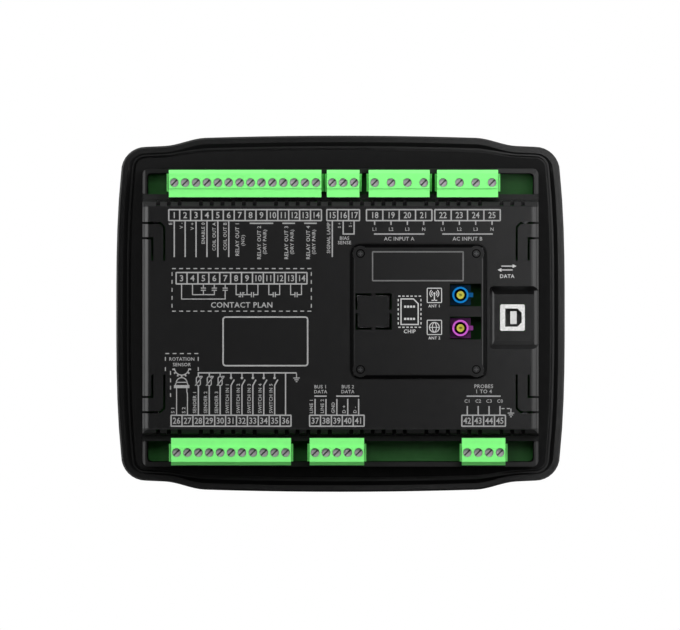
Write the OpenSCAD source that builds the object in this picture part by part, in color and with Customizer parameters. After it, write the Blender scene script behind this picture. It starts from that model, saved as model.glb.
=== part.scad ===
// Genset controller for a panel cut-out, seen from behind.
// x runs across as seen from behind, z runs up, and y points out of the display side.
// Depths are measured backwards from the panel face, so a depth of d lies at y = -d.

/* [Housing behind the panel] */
// Width of the housing walls
body_w = 184.4; // [180:0.1:190]
// Height of the housing walls
body_h = 138.8; // [136:0.1:142]
// Thickness of the housing walls
body_wall = 2.1; // [1.8:0.1:2.2]
// Corner radius of the housing walls
body_corner_r = 2.8; // [2:0.1:4]
// Depth of the terminal deck
deck_depth = 22; // [21:0.5:25]
// Depth of the rear face
rear_depth = 32; // [31:0.5:36]
// Depth of the seam under the rear cover
seam_drop = 2; // [1.5:0.1:3]
// Thickness of the rear cover
cover_wall = 2; // [1.6:0.1:2.4]
// Distance of the rear cover from the top and bottom of the housing
cover_in = 11.9; // [11.5:0.1:12.4]
// Ledge of the rear cover above and below the raised panel
panel_in = 2.2; // [2:0.1:3]
// How far the walls of the raised panel lean in
panel_draft = 1.5; // [0.8:0.1:1.6]
// Chamfer round the raised panel
panel_chamfer = 1.7; // [1:0.1:1.8]

/* [Bezel] */
// How far the bezel stands past the housing at the sides
rim_w = 12.3; // [11:0.1:16]
// How far the bezel stands past the housing above and below
rim_h = 13.6; // [12.8:0.1:17]
// Thickness of the bezel in front of the panel
bezel_t = 13; // [12.5:0.5:16]
// Corner radius of the bezel
bezel_corner_r = 11.5; // [9:0.5:14]
// Height of the bezel centre over the housing centre
bezel_rise = 1.8; // [0:0.1:2]
// How far the sides bow out
side_bow = 2.3; // [1:0.1:3]
// How far the top and bottom bow out
top_bow = 2.1; // [1:0.1:3]
// Width of the flange at the lower shoulders
shoulder_flange = 6.6; // [6.4:0.1:8]
// Length of the step at a shoulder
shoulder_l = 19; // [14:0.5:24]
// Distance of the step from the corner rounding
shoulder_at = 8.7; // [5:0.1:12]
// Width of the rim that meets the panel
lip_w = 3; // [2:0.1:3.4]
// Width of the slope inside the rim
lip_slope_w = 1.9; // [1:0.1:2.1]
// Depth of the gasket recess
recess_h = 1.5; // [1.2:0.1:2]
// Width of the rib that locates the gasket
gasket_rib_w = 0.8; // [0.6:0.1:1.2]
// How far the gasket stands out of its recess
gasket_proud = 0.2; // [0.1:0.1:0.5]

/* [Display side] */
// Thickness of the front wall
front_wall = 3.3; // [3:0.1:4]
// Thickness of the faceplate
faceplate_t = 0.7; // [0.5:0.1:0.9]
// Distance of the faceplate from the bezel outline
faceplate_inset = 10; // [9:0.5:12]
// Width of the display window
window_w = 100; // [90:0.5:102]
// Height of the display window
window_h = 60; // [54:0.5:62]
// Distance between the window and the column of lenses
window_to_lens = 11; // [9:0.5:14]
// Window centre up
window_z = 20; // [17:0.5:21]
// Radius of the four mode keys
mode_key_r = 8; // [6:0.1:9]
// Height of the mode keys over the foot of the display board
mode_key_in = 10; // [9:0.5:12]
// Distance between mode keys
mode_key_pitch = 36; // [30:0.5:38]
// Radius of the four menu keys
menu_key_r = 6; // [4:0.1:6.2]
// Distance of the menu keys from the side of the display board
menu_key_in = 13.5; // [12.5:0.1:15]
// Distance between menu keys
menu_key_pitch = 20; // [17:0.5:21]
// How far a key stands out
key_proud = 1.6; // [1:0.1:3]
// Travel of a key
key_travel = 1; // [0.5:0.1:1.2]
// Radius of an indicator lens
lens_r = 1.5; // [1:0.1:2]

/* [Terminal plugs] */
// Pitch of the small poles
fine_pitch = 5.08; // [5:0.01:5.1]
// Pitch of the large poles
wide_pitch = 7.62; // [7.5:0.01:7.7]
// Distance of the terminal rows from the edge of the housing
row_in = 6.5; // [6.4:0.05:6.6]
// Depth of the plug face
plug_depth = 31; // [30.5:0.1:31.5]
// Plug a centre across
plug_a_x = -44.45; // [-46:0.05:-43]
// Plug b centre across
plug_b_x = 1.25; // [0.5:0.05:1.8]
// Plug c centre across
plug_c_x = 27.35; // [27:0.05:28]
// Plug d centre across
plug_d_x = 59.2; // [59:0.05:64]
// Plug e centre across
plug_e_x = -51; // [-54:0.05:-46]
// Plug f centre across
plug_f_x = -1.7; // [-4:0.05:8]
// Plug g centre across
plug_g_x = 66.7; // [50:0.05:74]

/* [Radio module] */
// Width of the module cover
module_w = 63; // [62:0.1:64]
// Height of the module cover
module_h = 62.5; // [62:0.1:63.5]
// Distance between the module cover and the pocket of the data socket
module_to_pocket = 1.6; // [1.4:0.1:3]
// Module cover centre up
module_z = 2.85; // [0:0.05:5]
// Corner radius of the module cover
module_corner_r = 4.2; // [3:0.1:5]
// Distance of its screws from its middle
module_screw_at = 27; // [26:0.1:27.5]
// Side of the knock-out
knockout_w = 17; // [14:0.1:18]
// Knock-out centre from the cover centre
knockout_at = 20.9; // [20:0.1:21.2]
// Width of a connector window
socket_window_w = 14.6; // [14:0.1:15]
// Height of a connector window
socket_window_h = 10.6; // [10:0.1:11.5]
// Window centre from the cover centre
socket_window_at = 21.9; // [21.5:0.1:22.5]
// Distance between the two sockets
socket_pitch = 15.4; // [14:0.1:17]
// Outer radius of a socket collar
collar_r = 3.8; // [3.6:0.05:4.2]

/* [Data socket] */
// Distance of the data socket from the side of the housing
usb_in = 12.05; // [11:0.05:12.7]
// Width of the data socket
usb_w = 11.5; // [11:0.1:12]
// Height of the data socket
usb_h = 12.3; // [11.5:0.1:13]
// Half height of the pocket round it
pocket_half_h = 14.7; // [13:0.1:16]
// Length of the pocket from the side of the housing
pocket_l = 22.8; // [22:0.1:24]
// Depth of the pocket
pocket_h = 3.2; // [2:0.1:3.3]

/* [Hidden] */
$fn = 64;
eps = 0.02;
fit = 0.2;
over = 1;

// housing
inner_w = body_w - 2 * body_wall;
inner_h = body_h - 2 * body_wall;
inner_corner_r = body_corner_r - 1;
seam_depth = deck_depth - seam_drop;
seam_gap = 0.25;
wall_bevel = 1.25;
cover_half_h = body_h / 2 - cover_in;
panel_half_h = cover_half_h - panel_in;
cover_in_depth = rear_depth - cover_wall;
front_in = bezel_t - front_wall;
panel_edge = panel_draft + panel_chamfer;
round_steps = 8;

// bezel outline
bezel_w = body_w + 2 * rim_w;
bezel_h = body_h + 2 * rim_h;
shoulder_drop = rim_h - top_bow - bezel_rise - shoulder_flange;
corner_x = bezel_w / 2 - side_bow - bezel_corner_r;
function corner_z(drop) = bezel_h / 2 - top_bow - drop - bezel_corner_r;
shoulder_to = corner_x - shoulder_at;
shoulder_from = shoulder_to - shoulder_l;
side_steps = 5;
corner_steps = 8;
step_steps = 8;
middle_steps = 5;

// bezel section from the rear to the front, as insets and shares of the bezel thickness
bezel_section = [[0.8, 0], [0, 0.06], [0, 0.4], [0.8, 0.66], [2.4, 0.86], [4.8, 0.96], [8, 1]];

// gasket
rib_inset = lip_w + lip_slope_w + 0.1;
rib_h = 0.9;
groove_h = 2;
groove_w = 1;
gasket_inset = rib_inset + gasket_rib_w + groove_w;
gasket_drop = shoulder_drop - 1.4;
gasket_gap = 0.15;

// boards
board_t = 1.6;
board_drop = 12.5;
main_depth = deck_depth - board_drop;
main_front = main_depth - board_t;
main_w = inner_w - 1;
main_h = inner_h - 0.8;
main_corner_r = 2;
display_gap = 7.1;
display_front = front_in - display_gap;
display_back = display_front - board_t;
display_side = 9.1;
display_w = inner_w - 2 * display_side;
display_end = 8.3;
display_h = inner_h - 2 * display_end;
display_screw_x = display_w / 2 - 2.5;
display_screw_z = display_h / 2 - 5;
main_post_x = inner_w / 2 - 4.1;
main_post_in = 21.3;
main_post_z = inner_h / 2 - main_post_in;
post_r = 2.9;
display_boss_r = 2.4;
screw_r = 1.2;
pilot_r = 1.3;
screw_head_r = 2.2;
screw_head_h = 1.5;
screw_reach = 5;

// display side
faceplate_sunk = 0.1;
faceplate_back = bezel_t - faceplate_t - faceplate_sunk;
faceplate_gap = 0.15;
lens_plate_back = faceplate_back - 1.2;
window_r = 2;
window_ledge = 3;
lcd_margin = 4;
lcd_frame = 2;
lcd_step = 1;
lcd_front = front_in - fit;
key_fit = 0.35;
key_flange_w = 1.5;
key_flange_h = 1;
key_seat = 0.1;
key_edge = 0.7;
key_waist = 1;
key_bottom = display_front + 2.6;
mat_t = 1;
dome_top = key_bottom - key_travel - fit;
mat_half_h = 9.5;
dome_inset = 2;
mat_strip_w = 14.6;
mode_key_z = mode_key_in - display_h / 2;
menu_key_x = menu_key_in - display_w / 2;
indicator_over = 17;
indicator_z = mode_key_z + indicator_over;
indicator_x = display_w / 2 - 6;
indicator_pitch = 14;
window_x = indicator_x - window_to_lens - window_w / 2;
menu_key_top = window_z + 1.5 * menu_key_pitch - 6;
mode_xs = [1.5, 0.5, -0.5, -1.5];
menu_zs = [0, -1, -2, -3];

// terminal plugs, with u measured outwards from the screw row
row_z = body_h / 2 - row_in;
plug_foot = deck_depth + 0.3;
plug_inner_u = -6.8;
plug_step_u = -2.65;
plug_slope_u = 4.3;
plug_outer_u = 5.95;
plug_slope_h = 1.8;
plug_step_h = 0.7;
fine_end = fine_pitch / 2;
wide_end = 2.8;
header_top = deck_depth - 0.5;
header_half_w = 4.15;
header_wall = 0.95;
header_floor = 1.6;
header_over = 1;
header_end_wall = 0.8;
nose_half_w = header_half_w - header_wall - 0.3;
nose_end = main_depth + header_floor + 0.9;
nose_short = 0.1;
pin_w = 1;
pin_out = 1.5;
pin_top = nose_end + 7;
pin_hole_r = 0.85;
contact_w = 1.7;
contact_top = pin_top + 1.5;
cage_foot = plug_foot + 0.9;
cage_h = 4.2;
cage_w = 3.9;
cage_wall = 0.6;
cage_in_u = -2.2;
cage_out_u = 4.2;
cage_gap = 0.1;
mouth_w = 4.4;
mouth_h = 4.8;
mouth_t = 0.8;
head_r = 1.9;
head_low = cage_foot + cage_h + fit;
head_sunk = 1.6;
head_top = plug_depth - head_sunk;
well_r = head_r + 0.15;
shank_r = 1.3;
shank_in = 2.4;
slot_w = 0.7;
slot_t = 0.9;
slot_angle = 45;

// name, poles, pitch, end margin, centre, side of the case
blocks = [
    ["a", 14, fine_pitch, fine_end, plug_a_x, 1],
    ["b", 3, fine_pitch, fine_end, plug_b_x, 1],
    ["c", 4, wide_pitch, wide_end, plug_c_x, 1],
    ["d", 4, wide_pitch, wide_end, plug_d_x, 1],
    ["e", 11, fine_pitch, fine_end, plug_e_x, -1],
    ["f", 5, fine_pitch, fine_end, plug_f_x, -1],
    ["g", 4, fine_pitch, fine_end, plug_g_x, -1]
];
function poles(b) = b[1];
function plug_len(b) = (b[1] - 1) * b[2] + 2 * b[3];
function pole_x(b, i) = (i - (b[1] - 1) / 2) * b[2];

// rear cover details
vent_pitch = 5;
vent_w = 1.8;
vent_end = 5;
vent_count = floor((body_w / 2 - vent_end) / vent_pitch);
vent_skip = 7;
vent_low = deck_depth + 3;
vent_high = cover_in_depth - panel_chamfer;
arm_outer_z = panel_half_h - 11.2;
arm_inner_z = arm_outer_z - 7.1;
arm_len = 17.5;
arm_root_z = arm_outer_z - arm_len;
arm_outer_x = body_w / 2 - 8.2;
arm_x = body_w / 2 - 10.1;
arm_inner_x = body_w / 2 - 4.5;
arm_slot_w = 1;
arm_bend = 45;
arm_rise = 0.3;
hook_t = 1.8;
hook_gap = 0.3;
hook_reach = 6;
barb_h = 2;
barb_t = 0.8;
hook_clear = 0.5;
hook_low = seam_depth - hook_reach;

// radio module
pocket_x = body_w / 2 - pocket_l;
module_x = pocket_x - module_to_pocket - module_w / 2;
module_gap = 0.5;
module_drop = 0.1;
module_t = 2;
module_low = rear_depth - module_drop - module_t;
module_bevel = [1.8, 0.4];
ledge_t = 2;
ledge_in = 2.2;
ledge_gap = 0.8;
ledge_out = 2;
module_pocket_r = 2.05;
module_pocket_t = 1.2;
module_head_h = 0.6;
module_head_r = 1.55;
module_boss_r = 3.6;
module_shank_r = 1;
module_board_drop = 10.9;
module_board_depth = module_low - module_board_drop;
module_board_w = 58;
module_board_h = 54;
module_post_at = 21;
ledge_cut = module_post_at + post_r + ledge_gap;
knockout_slot = 1.2;
knockout_tab = 1.9;
socket_w = 9.5;
socket_at = 19.6;
socket_base_top = rear_depth - 4.5;
collar_top = rear_depth - 1.5;
collar_wall = 0.9;
key_tab = 2.1;
key_tab_drop = 1.4;
contact_drop = 1.2;
contact_bore = 2.8;
contact_r = 1.8;
contact_bore_r = 0.6;
socket_floor = 2;
holder_w = 15;
holder_h = 3;
cross_len = 2.4;
cross_w = 0.6;
cross_t = 0.6;

// data socket
usb_x = body_w / 2 - usb_in;
pocket_r = 2.2;
pocket_floor = rear_depth - pocket_h;
pocket_steep = 2.1;
pocket_end = 1.4;
pocket_gentle = 1.7;
pocket_gentle_h = 0.6;
pocket_edge_r = 2;
pocket_wall = 2;
usb_face = pocket_floor + 0.4;
usb_gap = 0.3;
usb_hole_w = 7.7;
usb_hole_h = 8.5;
usb_hole_x = 0.45;
usb_cut = 2;
usb_r = 0.8;
usb_cavity = 9.5;
tongue_w = 3;
tongue_h = 6;
tongue_short = 1;

// parts on the main board
relay_w = 15.5;
relay_l = 19;
relay_t = 14;
relay_cols = 3;
relay_pitch_x = 24;
relay_pitch_z = 30;
relay_x = -64;
relay_z = -15;
chip_w = 14;
chip_t = 1.4;
chip_z = -42;
link_w = 5;
link_l = 40;
link_z = -30;
module_link_l = 30;

// Drawing in the plane of the panel, given thickness between two depths
module slab(from, to) {
    translate([0, -from, 0])
        rotate([90, 0, 0])
            linear_extrude(to - from)
                children();
}

// Drawing of y against z, run across the case
module across(length) {
    rotate([90, 0, 90])
        linear_extrude(length, center = true)
            children();
}

// Round bar or bore along the depth
module rod(r, from, to) {
    translate([0, -from, 0])
        rotate([90, 0, 0])
            cylinder(r = r, h = to - from);
}

module place(x, z) {
    translate([x, 0, z])
        children();
}

module rounded(w, h, r) {
    square([w - 2 * r, h], center = true);
    square([w, h - 2 * r], center = true);
    for (sx = [-1, 1], sz = [-1, 1])
        translate([sx * (w / 2 - r), sz * (h / 2 - r)])
            circle(r);
}

// Four copies, one in each quarter of the rear view
module quarters() {
    for (sx = [0, 1], sz = [0, 1])
        mirror([sx, 0, 0])
            mirror([0, 0, sz])
                children();
}

function ease(t) = t <= 0 ? 0 : t >= 1 ? 1 : t * t * (3 - 2 * t);
function edge_z(x, drop) =
    bezel_h / 2 - top_bow * pow(x / corner_x, 2)
    - drop * ease((x - shoulder_from) / (shoulder_to - shoulder_from));
function edge_x(z, drop) = bezel_w / 2 - side_bow * pow(z / corner_z(drop), 3);

// One quarter of the bezel outline, from the middle of a side to the middle of the top
function bezel_quarter(inset, drop) = concat(
    [for (i = [0:side_steps - 1])
        let (z = corner_z(drop) * i / side_steps) [edge_x(z, drop) - inset, z]],
    [for (i = [0:corner_steps])
        let (a = 90 * i / corner_steps, r = bezel_corner_r - inset)
            [corner_x + r * cos(a), corner_z(drop) + r * sin(a)]],
    [for (i = [0:step_steps])
        let (x = shoulder_to + (shoulder_from - shoulder_to) * i / step_steps)
            [x, edge_z(x, drop) - inset]],
    [for (i = [1:middle_steps])
        let (x = shoulder_from * (1 - i / middle_steps)) [x, edge_z(x, drop) - inset]]
);
function bezel_ring(inset, drop = shoulder_drop) =
    let (q = bezel_quarter(inset, drop), n = len(q) - 1)
        concat(
            [for (i = [0:n - 1]) q[i]],
            [for (i = [n:-1:1]) [-q[i][0], q[i][1]]],
            [for (i = [0:n - 1]) [-q[i][0], -q[i][1]]],
            [for (i = [n:-1:1]) [q[i][0], -q[i][1]]]
        );

module bezel_outline(inset, drop = shoulder_drop) {
    translate([0, bezel_rise])
        polygon(bezel_ring(inset, drop));
}

// Solid through a list of outlines, each an inset and a depth, from the rear to the front
module bezel_loft(steps) {
    n = len(bezel_ring(0));
    m = len(steps);
    points = [for (s = steps, p = bezel_ring(s[0])) [p[0], -s[1], p[1] + bezel_rise]];
    walls = [for (k = [0:m - 2], i = [0:n - 1])
        [k * n + i, k * n + (i + 1) % n, (k + 1) * n + (i + 1) % n, (k + 1) * n + i]];
    rear = [for (i = [n - 1:-1:0]) i];
    front = [for (i = [0:n - 1]) (m - 1) * n + i];
    polyhedron(points, concat([rear], walls, [front]), convexity = 4);
}

module mode_keys_at() {
    for (k = mode_xs)
        place(k * mode_key_pitch, mode_key_z)
            children();
}

module menu_keys_at() {
    for (k = menu_zs)
        place(menu_key_x, menu_key_top + k * menu_key_pitch)
            children();
}

module indicators_at() {
    for (k = mode_xs)
        place(k * mode_key_pitch, indicator_z)
            children();
    for (k = menu_zs)
        place(indicator_x, menu_key_top + k * indicator_pitch)
            children();
}

module display_screws_at() {
    quarters()
        place(display_screw_x, display_screw_z)
            children();
}

module main_screws_at() {
    quarters()
        place(main_post_x, main_post_z)
            children();
}

// Holes for the keys and the lenses, through the front
module front_holes(from, to) {
    mode_keys_at()
        rod(mode_key_r + key_fit, from, to);
    menu_keys_at()
        rod(menu_key_r + key_fit, from, to);
    indicators_at()
        rod(lens_r + fit / 2, from, to);
}

module front_housing() {
    color([0.05, 0.05, 0.05]) {
        difference() {
            union() {
                difference() {
                    bezel_loft([for (p = bezel_section) [p[0], -p[1] * bezel_t]]);
                    bezel_loft([[lip_w - lip_slope_w, recess_h], [lip_w + lip_slope_w, -recess_h]]);
                }
                slab(-recess_h - eps, rib_h - recess_h)
                    difference() {
                        bezel_outline(rib_inset, gasket_drop);
                        bezel_outline(rib_inset + gasket_rib_w, gasket_drop);
                    }
                slab(-recess_h - over, deck_depth)
                    rounded(body_w, body_h, body_corner_r);
            }
            slab(-front_in, deck_depth + over)
                rounded(inner_w, inner_h, inner_corner_r);
            slab(seam_depth, deck_depth + over)
                square([body_w + 2 * over, 2 * (cover_half_h + seam_gap)], center = true);
            slab(-bezel_t - over, -faceplate_back)
                bezel_outline(faceplate_inset);
            place(window_x, window_z) {
                slab(-bezel_t, -lens_plate_back)
                    rounded(window_w, window_h, window_r);
                slab(-bezel_t, over - front_in)
                    square([window_w - 2 * window_ledge, window_h - 2 * window_ledge], center = true);
            }
            front_holes(-bezel_t, over - front_in);
            slab(-recess_h - groove_h, -recess_h + eps)
                difference() {
                    bezel_outline(rib_inset + gasket_rib_w, gasket_drop);
                    bezel_outline(gasket_inset, gasket_drop);
                }
            quarters()
                translate([0, 0, cover_half_h])
                    linear_extrude(body_h)
                        polygon([
                            [body_w / 2 - wall_bevel, -deck_depth - eps], [body_w, -deck_depth - eps],
                            [body_w, wall_bevel - deck_depth], [body_w / 2, wall_bevel - deck_depth]
                        ]);
            quarters()
                place(inner_w / 2, (arm_outer_z + arm_inner_z) / 2)
                    slab(hook_low - hook_clear, hook_low + barb_h + hook_clear)
                        square([2 * barb_t, arm_outer_z - arm_inner_z], center = true);
        }
        difference() {
            union() {
                display_screws_at()
                    rod(display_boss_r, -front_in - eps, -display_front);
                main_screws_at()
                    rod(post_r, -front_in - eps, main_front);
            }
            display_screws_at()
                rod(pilot_r, over - front_in, over - display_front);
            main_screws_at()
                rod(pilot_r, main_front - screw_reach, main_front + over);
        }
    }
}

module panel_gasket() {
    color([0.09, 0.09, 0.09])
        slab(-recess_h, gasket_proud)
            difference() {
                bezel_outline(gasket_inset, gasket_drop);
                rounded(body_w + 2 * gasket_gap, body_h + 2 * gasket_gap, body_corner_r + gasket_gap);
            }
}

module faceplate() {
    color([0.12, 0.13, 0.14])
        difference() {
            slab(-faceplate_back - faceplate_t, -faceplate_back)
                bezel_outline(faceplate_inset + faceplate_gap);
            place(window_x, window_z)
                slab(-bezel_t - over, 0)
                    rounded(window_w, window_h, window_r);
            front_holes(-bezel_t - over, 0);
        }
}

module display_window() {
    color([0.75, 0.82, 0.85])
        place(window_x, window_z)
            slab(-faceplate_back - faceplate_t, -lens_plate_back)
                rounded(window_w - 2 * fit, window_h - 2 * fit, window_r - fit);
}

module lcd_module() {
    color([0.6, 0.66, 0.6])
        place(window_x, window_z)
            difference() {
                slab(-lcd_front, -display_front)
                    square([window_w + 2 * lcd_margin, window_h + 2 * lcd_margin], center = true);
                slab(-lcd_front - over, lcd_step - lcd_front)
                    square([window_w - 2 * lcd_frame, window_h - 2 * lcd_frame], center = true);
            }
}

module display_board() {
    color([0.08, 0.3, 0.12])
        difference() {
            slab(-display_front, -display_back)
                square([display_w, display_h], center = true);
            display_screws_at()
                rod(pilot_r, -display_front - over, over - display_back);
        }
}

module keypad_mat() {
    color([0.5, 0.5, 0.52]) {
        slab(-display_front - mat_t, -display_front) {
            translate([0, mode_key_z])
                square([2 * -menu_key_x - mat_strip_w, 2 * mat_half_h], center = true);
            translate([menu_key_x, (menu_key_top + mode_key_z) / 2])
                square([mat_strip_w, menu_key_top - mode_key_z + 2 * mat_half_h], center = true);
        }
        mode_keys_at()
            rod(mode_key_r - dome_inset, -dome_top, -display_front);
        menu_keys_at()
            rod(menu_key_r - dome_inset, -dome_top, -display_front);
    }
}

module indicator_lenses() {
    color([0.8, 0.8, 0.75])
        indicators_at()
            rod(lens_r, -bezel_t, -display_front);
}

// Key cap with a flange that holds it behind the front wall
module key_cap(r) {
    seat = front_in - key_seat;
    top = bezel_t + key_proud;
    rotate([-90, 0, 0])
        rotate_extrude()
            polygon([
                [0, key_bottom], [r - key_waist, key_bottom], [r - key_waist, seat - key_flange_h],
                [r + key_flange_w, seat - key_flange_h], [r + key_flange_w, seat], [r, seat],
                [r, top - key_edge], [r - key_edge, top - key_seat], [r / 2, top], [0, top]
            ]);
}

module mode_key(i, tint) {
    color(tint)
        place(mode_xs[i] * mode_key_pitch, mode_key_z)
            key_cap(mode_key_r);
}

module menu_key(i) {
    color([0.55, 0.57, 0.6])
        place(menu_key_x, menu_key_top + menu_zs[i] * menu_key_pitch)
            key_cap(menu_key_r);
}

// Stands a drawing made for the upper row in the row and at the place of its plug
module in_row(b) {
    translate([b[4], 0, 0])
        mirror([0, 0, b[5] > 0 ? 0 : 1])
            translate([0, 0, row_z])
                children();
}

module main_board() {
    color([0.07, 0.3, 0.1])
        difference() {
            slab(main_front, main_depth)
                rounded(main_w, main_h, main_corner_r);
            main_screws_at()
                rod(pilot_r, main_front - over, main_depth + over);
            for (b = blocks)
                in_row(b)
                    for (i = [0:poles(b) - 1])
                        translate([pole_x(b, i), 0, 0])
                            rod(pin_hole_r, main_front - over, main_depth + over);
        }
}

module board_links() {
    color([0.1, 0.1, 0.1]) {
        place(0, link_z)
            slab(-display_back, main_front)
                square([link_l, link_w], center = true);
        place(module_x, module_z)
            slab(main_depth, module_board_depth - board_t)
                square([module_link_l, link_w], center = true);
    }
}

// Board screw from its seat on a board, with the head on the side that the sign names
module board_screw(seat, sign) {
    head = sign * screw_head_h;
    rod(screw_head_r, min(seat, seat + head), max(seat, seat + head));
    rod(screw_r, min(seat, seat - sign * screw_reach), max(seat, seat - sign * screw_reach));
}

module board_screws() {
    color([0.7, 0.7, 0.72]) {
        display_screws_at()
            board_screw(-display_back, 1);
        main_screws_at()
            board_screw(main_depth, 1);
        place(module_x, module_z)
            quarters()
                place(module_post_at, module_post_at)
                    board_screw(module_board_depth - board_t, -1);
    }
}

module relays() {
    color([0.12, 0.12, 0.13])
        for (i = [0:relay_cols - 1], j = [0, 1])
            place(relay_x + i * relay_pitch_x, relay_z + j * relay_pitch_z)
                slab(main_depth, main_depth + relay_t)
                    square([relay_w, relay_l], center = true);
}

module processor() {
    color([0.1, 0.1, 0.11])
        place(0, chip_z)
            slab(main_depth, main_depth + chip_t)
                square([chip_w, chip_w], center = true);
}

module header_pins() {
    color([0.75, 0.72, 0.6])
        for (b = blocks)
            in_row(b)
                for (i = [0:poles(b) - 1])
                    translate([pole_x(b, i), 0, 0])
                        slab(main_front - pin_out, pin_top)
                            square([pin_w, pin_w], center = true);
}

module terminal_header(b) {
    color([0.3, 0.75, 0.3])
        in_row(b)
            difference() {
                slab(main_depth, header_top)
                    square([plug_len(b) + 2 * header_over, 2 * header_half_w], center = true);
                slab(main_depth + header_floor, header_top + over)
                    square([plug_len(b) + 2 * (header_over - header_end_wall),
                            2 * (header_half_w - header_wall)], center = true);
                for (i = [0:poles(b) - 1])
                    translate([pole_x(b, i), 0, 0])
                        slab(main_depth - over, main_depth + header_floor + over)
                            square([pin_w + cage_gap, pin_w + cage_gap], center = true);
            }
}

module terminal_plug(b) {
    color([0.5, 0.95, 0.5])
        in_row(b)
            difference() {
                union() {
                    across(plug_len(b))
                        polygon([
                            [-plug_foot, plug_inner_u], [-plug_foot, plug_outer_u],
                            [plug_slope_h - plug_depth, plug_outer_u], [-plug_depth, plug_slope_u],
                            [-plug_depth, plug_step_u], [plug_step_h - plug_depth, plug_step_u],
                            [plug_step_h - plug_depth, plug_inner_u]
                        ]);
                    slab(nose_end, plug_foot + eps)
                        square([plug_len(b) - 2 * nose_short, 2 * nose_half_w], center = true);
                }
                for (i = [0:poles(b) - 1])
                    translate([pole_x(b, i), 0, 0]) {
                        slab(nose_end - over, contact_top)
                            square([contact_w, contact_w], center = true);
                        slab(cage_foot - cage_gap, cage_foot + cage_h + cage_gap)
                            translate([-cage_w / 2 - cage_gap, cage_in_u - cage_gap])
                                square([cage_w + 2 * cage_gap, plug_outer_u - cage_in_u + over]);
                        slab(cage_foot + (cage_h - mouth_h) / 2, cage_foot + (cage_h + mouth_h) / 2)
                            translate([-mouth_w / 2, plug_outer_u - mouth_t])
                                square([mouth_w, mouth_t + over]);
                        rod(well_r, cage_foot + cage_h, plug_depth + over);
                    }
            }
}

module terminal_screws(b) {
    color([0.66, 0.64, 0.66])
        in_row(b)
            for (i = [0:poles(b) - 1])
                translate([pole_x(b, i), 0, 0]) {
                    difference() {
                        rod(head_r, head_low, head_top);
                        rotate([0, -b[5] * slot_angle, 0])
                            slab(head_top - slot_t, head_top + over)
                                square([2 * (head_r + over), slot_w], center = true);
                    }
                    rod(shank_r, head_low - shank_in, head_low);
                }
}

module wire_cages(b) {
    color([0.75, 0.75, 0.78])
        in_row(b)
            for (i = [0:poles(b) - 1])
                translate([pole_x(b, i), 0, 0])
                    difference() {
                        slab(cage_foot, cage_foot + cage_h)
                            translate([-cage_w / 2, cage_in_u])
                                square([cage_w, cage_out_u - cage_in_u]);
                        slab(cage_foot + cage_wall, cage_foot + cage_h - cage_wall)
                            translate([-cage_w / 2 + cage_wall, cage_in_u - over])
                                square([cage_w - 2 * cage_wall, cage_out_u - cage_in_u + 2 * over]);
                        rod(shank_r + fit, cage_foot + cage_h - cage_wall - over, cage_foot + cage_h + over);
                    }
}

// Half section of a body with leaning walls and a chamfer, as half widths and depths
function lean_section(half, from, to, draft, chamfer) = [
    [half, from], [half - draft, to - chamfer[1]], [half - draft - chamfer[0], to]
];

// Body with leaning walls, of the half width and half height given at its foot.
// The chamfer is given as its width and its depth.
module leaning_body(half_w, half_h, from, to, draft, chamfer) {
    solid_section(lean_section(half_w, from, to, draft, chamfer), half_w,
                  lean_section(half_h, from, to, draft, chamfer), half_h);
}

// Body with one section across and another upwards, each the same on both sides of the middle.
module solid_section(side, half_w, up, half_h) {
    intersection() {
        across(2 * half_w)
            polygon(concat([for (p = up) [-p[1], p[0]]],
                           [for (i = [len(up) - 1:-1:0]) [-up[i][1], -up[i][0]]]));
        translate([0, 0, -half_h])
            linear_extrude(2 * half_h)
                polygon(concat([for (p = side) [p[0], -p[1]]],
                               [for (i = [len(side) - 1:-1:0]) [-side[i][0], -side[i][1]]]));
    }
}

// Slots round one snap arm, drawn for the upper right quarter
module arm_slots() {
    h = arm_slot_w / 2;
    t = h * tan(arm_bend / 2);
    z = arm_outer_z - arm_outer_x + arm_x;
    far = body_w / 2 + over;
    polygon([
        [far, arm_outer_z + h], [arm_outer_x - t, arm_outer_z + h],
        [arm_x - h, z + t], [arm_x - h, arm_root_z],
        [arm_x + h, arm_root_z], [arm_x + h, z - t],
        [arm_outer_x + t, arm_outer_z - h], [far, arm_outer_z - h]
    ]);
    polygon([
        [far, arm_inner_z + h], [arm_inner_x - h, arm_inner_z + h], [arm_inner_x - h, arm_root_z],
        [arm_inner_x + h, arm_root_z], [arm_inner_x + h, arm_inner_z - h], [far, arm_inner_z - h]
    ]);
}

// Low pad that shows the arm, drawn for the upper right quarter
module arm_pad() {
    h = arm_slot_w / 2;
    z = arm_outer_z - arm_outer_x + arm_x;
    edge = body_w / 2 - panel_edge;
    polygon([
        [arm_x + h, arm_root_z], [arm_x + h, z - h], [arm_outer_x + h, arm_outer_z - h],
        [edge, arm_outer_z - h], [edge, arm_inner_z + h], [arm_inner_x - h, arm_inner_z + h],
        [arm_inner_x - h, arm_root_z]
    ]);
}

// Hook under one snap arm, drawn for the upper right quarter
module arm_hook() {
    x = inner_w / 2 - hook_gap;
    low = hook_low;
    z0 = arm_inner_z + arm_slot_w;
    z1 = arm_outer_z - arm_slot_w;
    translate([0, 0, z0])
        linear_extrude(z1 - z0)
            polygon([
                [x - hook_t - panel_edge, -cover_in_depth - eps], [x - hook_t, -seam_depth],
                [x - hook_t, -low], [x, -low], [x + barb_t, fit - low - barb_h], [x, -low - barb_h],
                [x, -seam_depth - fit], [inner_w / 2 + over, -seam_depth - fit],
                [inner_w / 2 - panel_draft, -cover_in_depth]
            ]);
}

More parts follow.
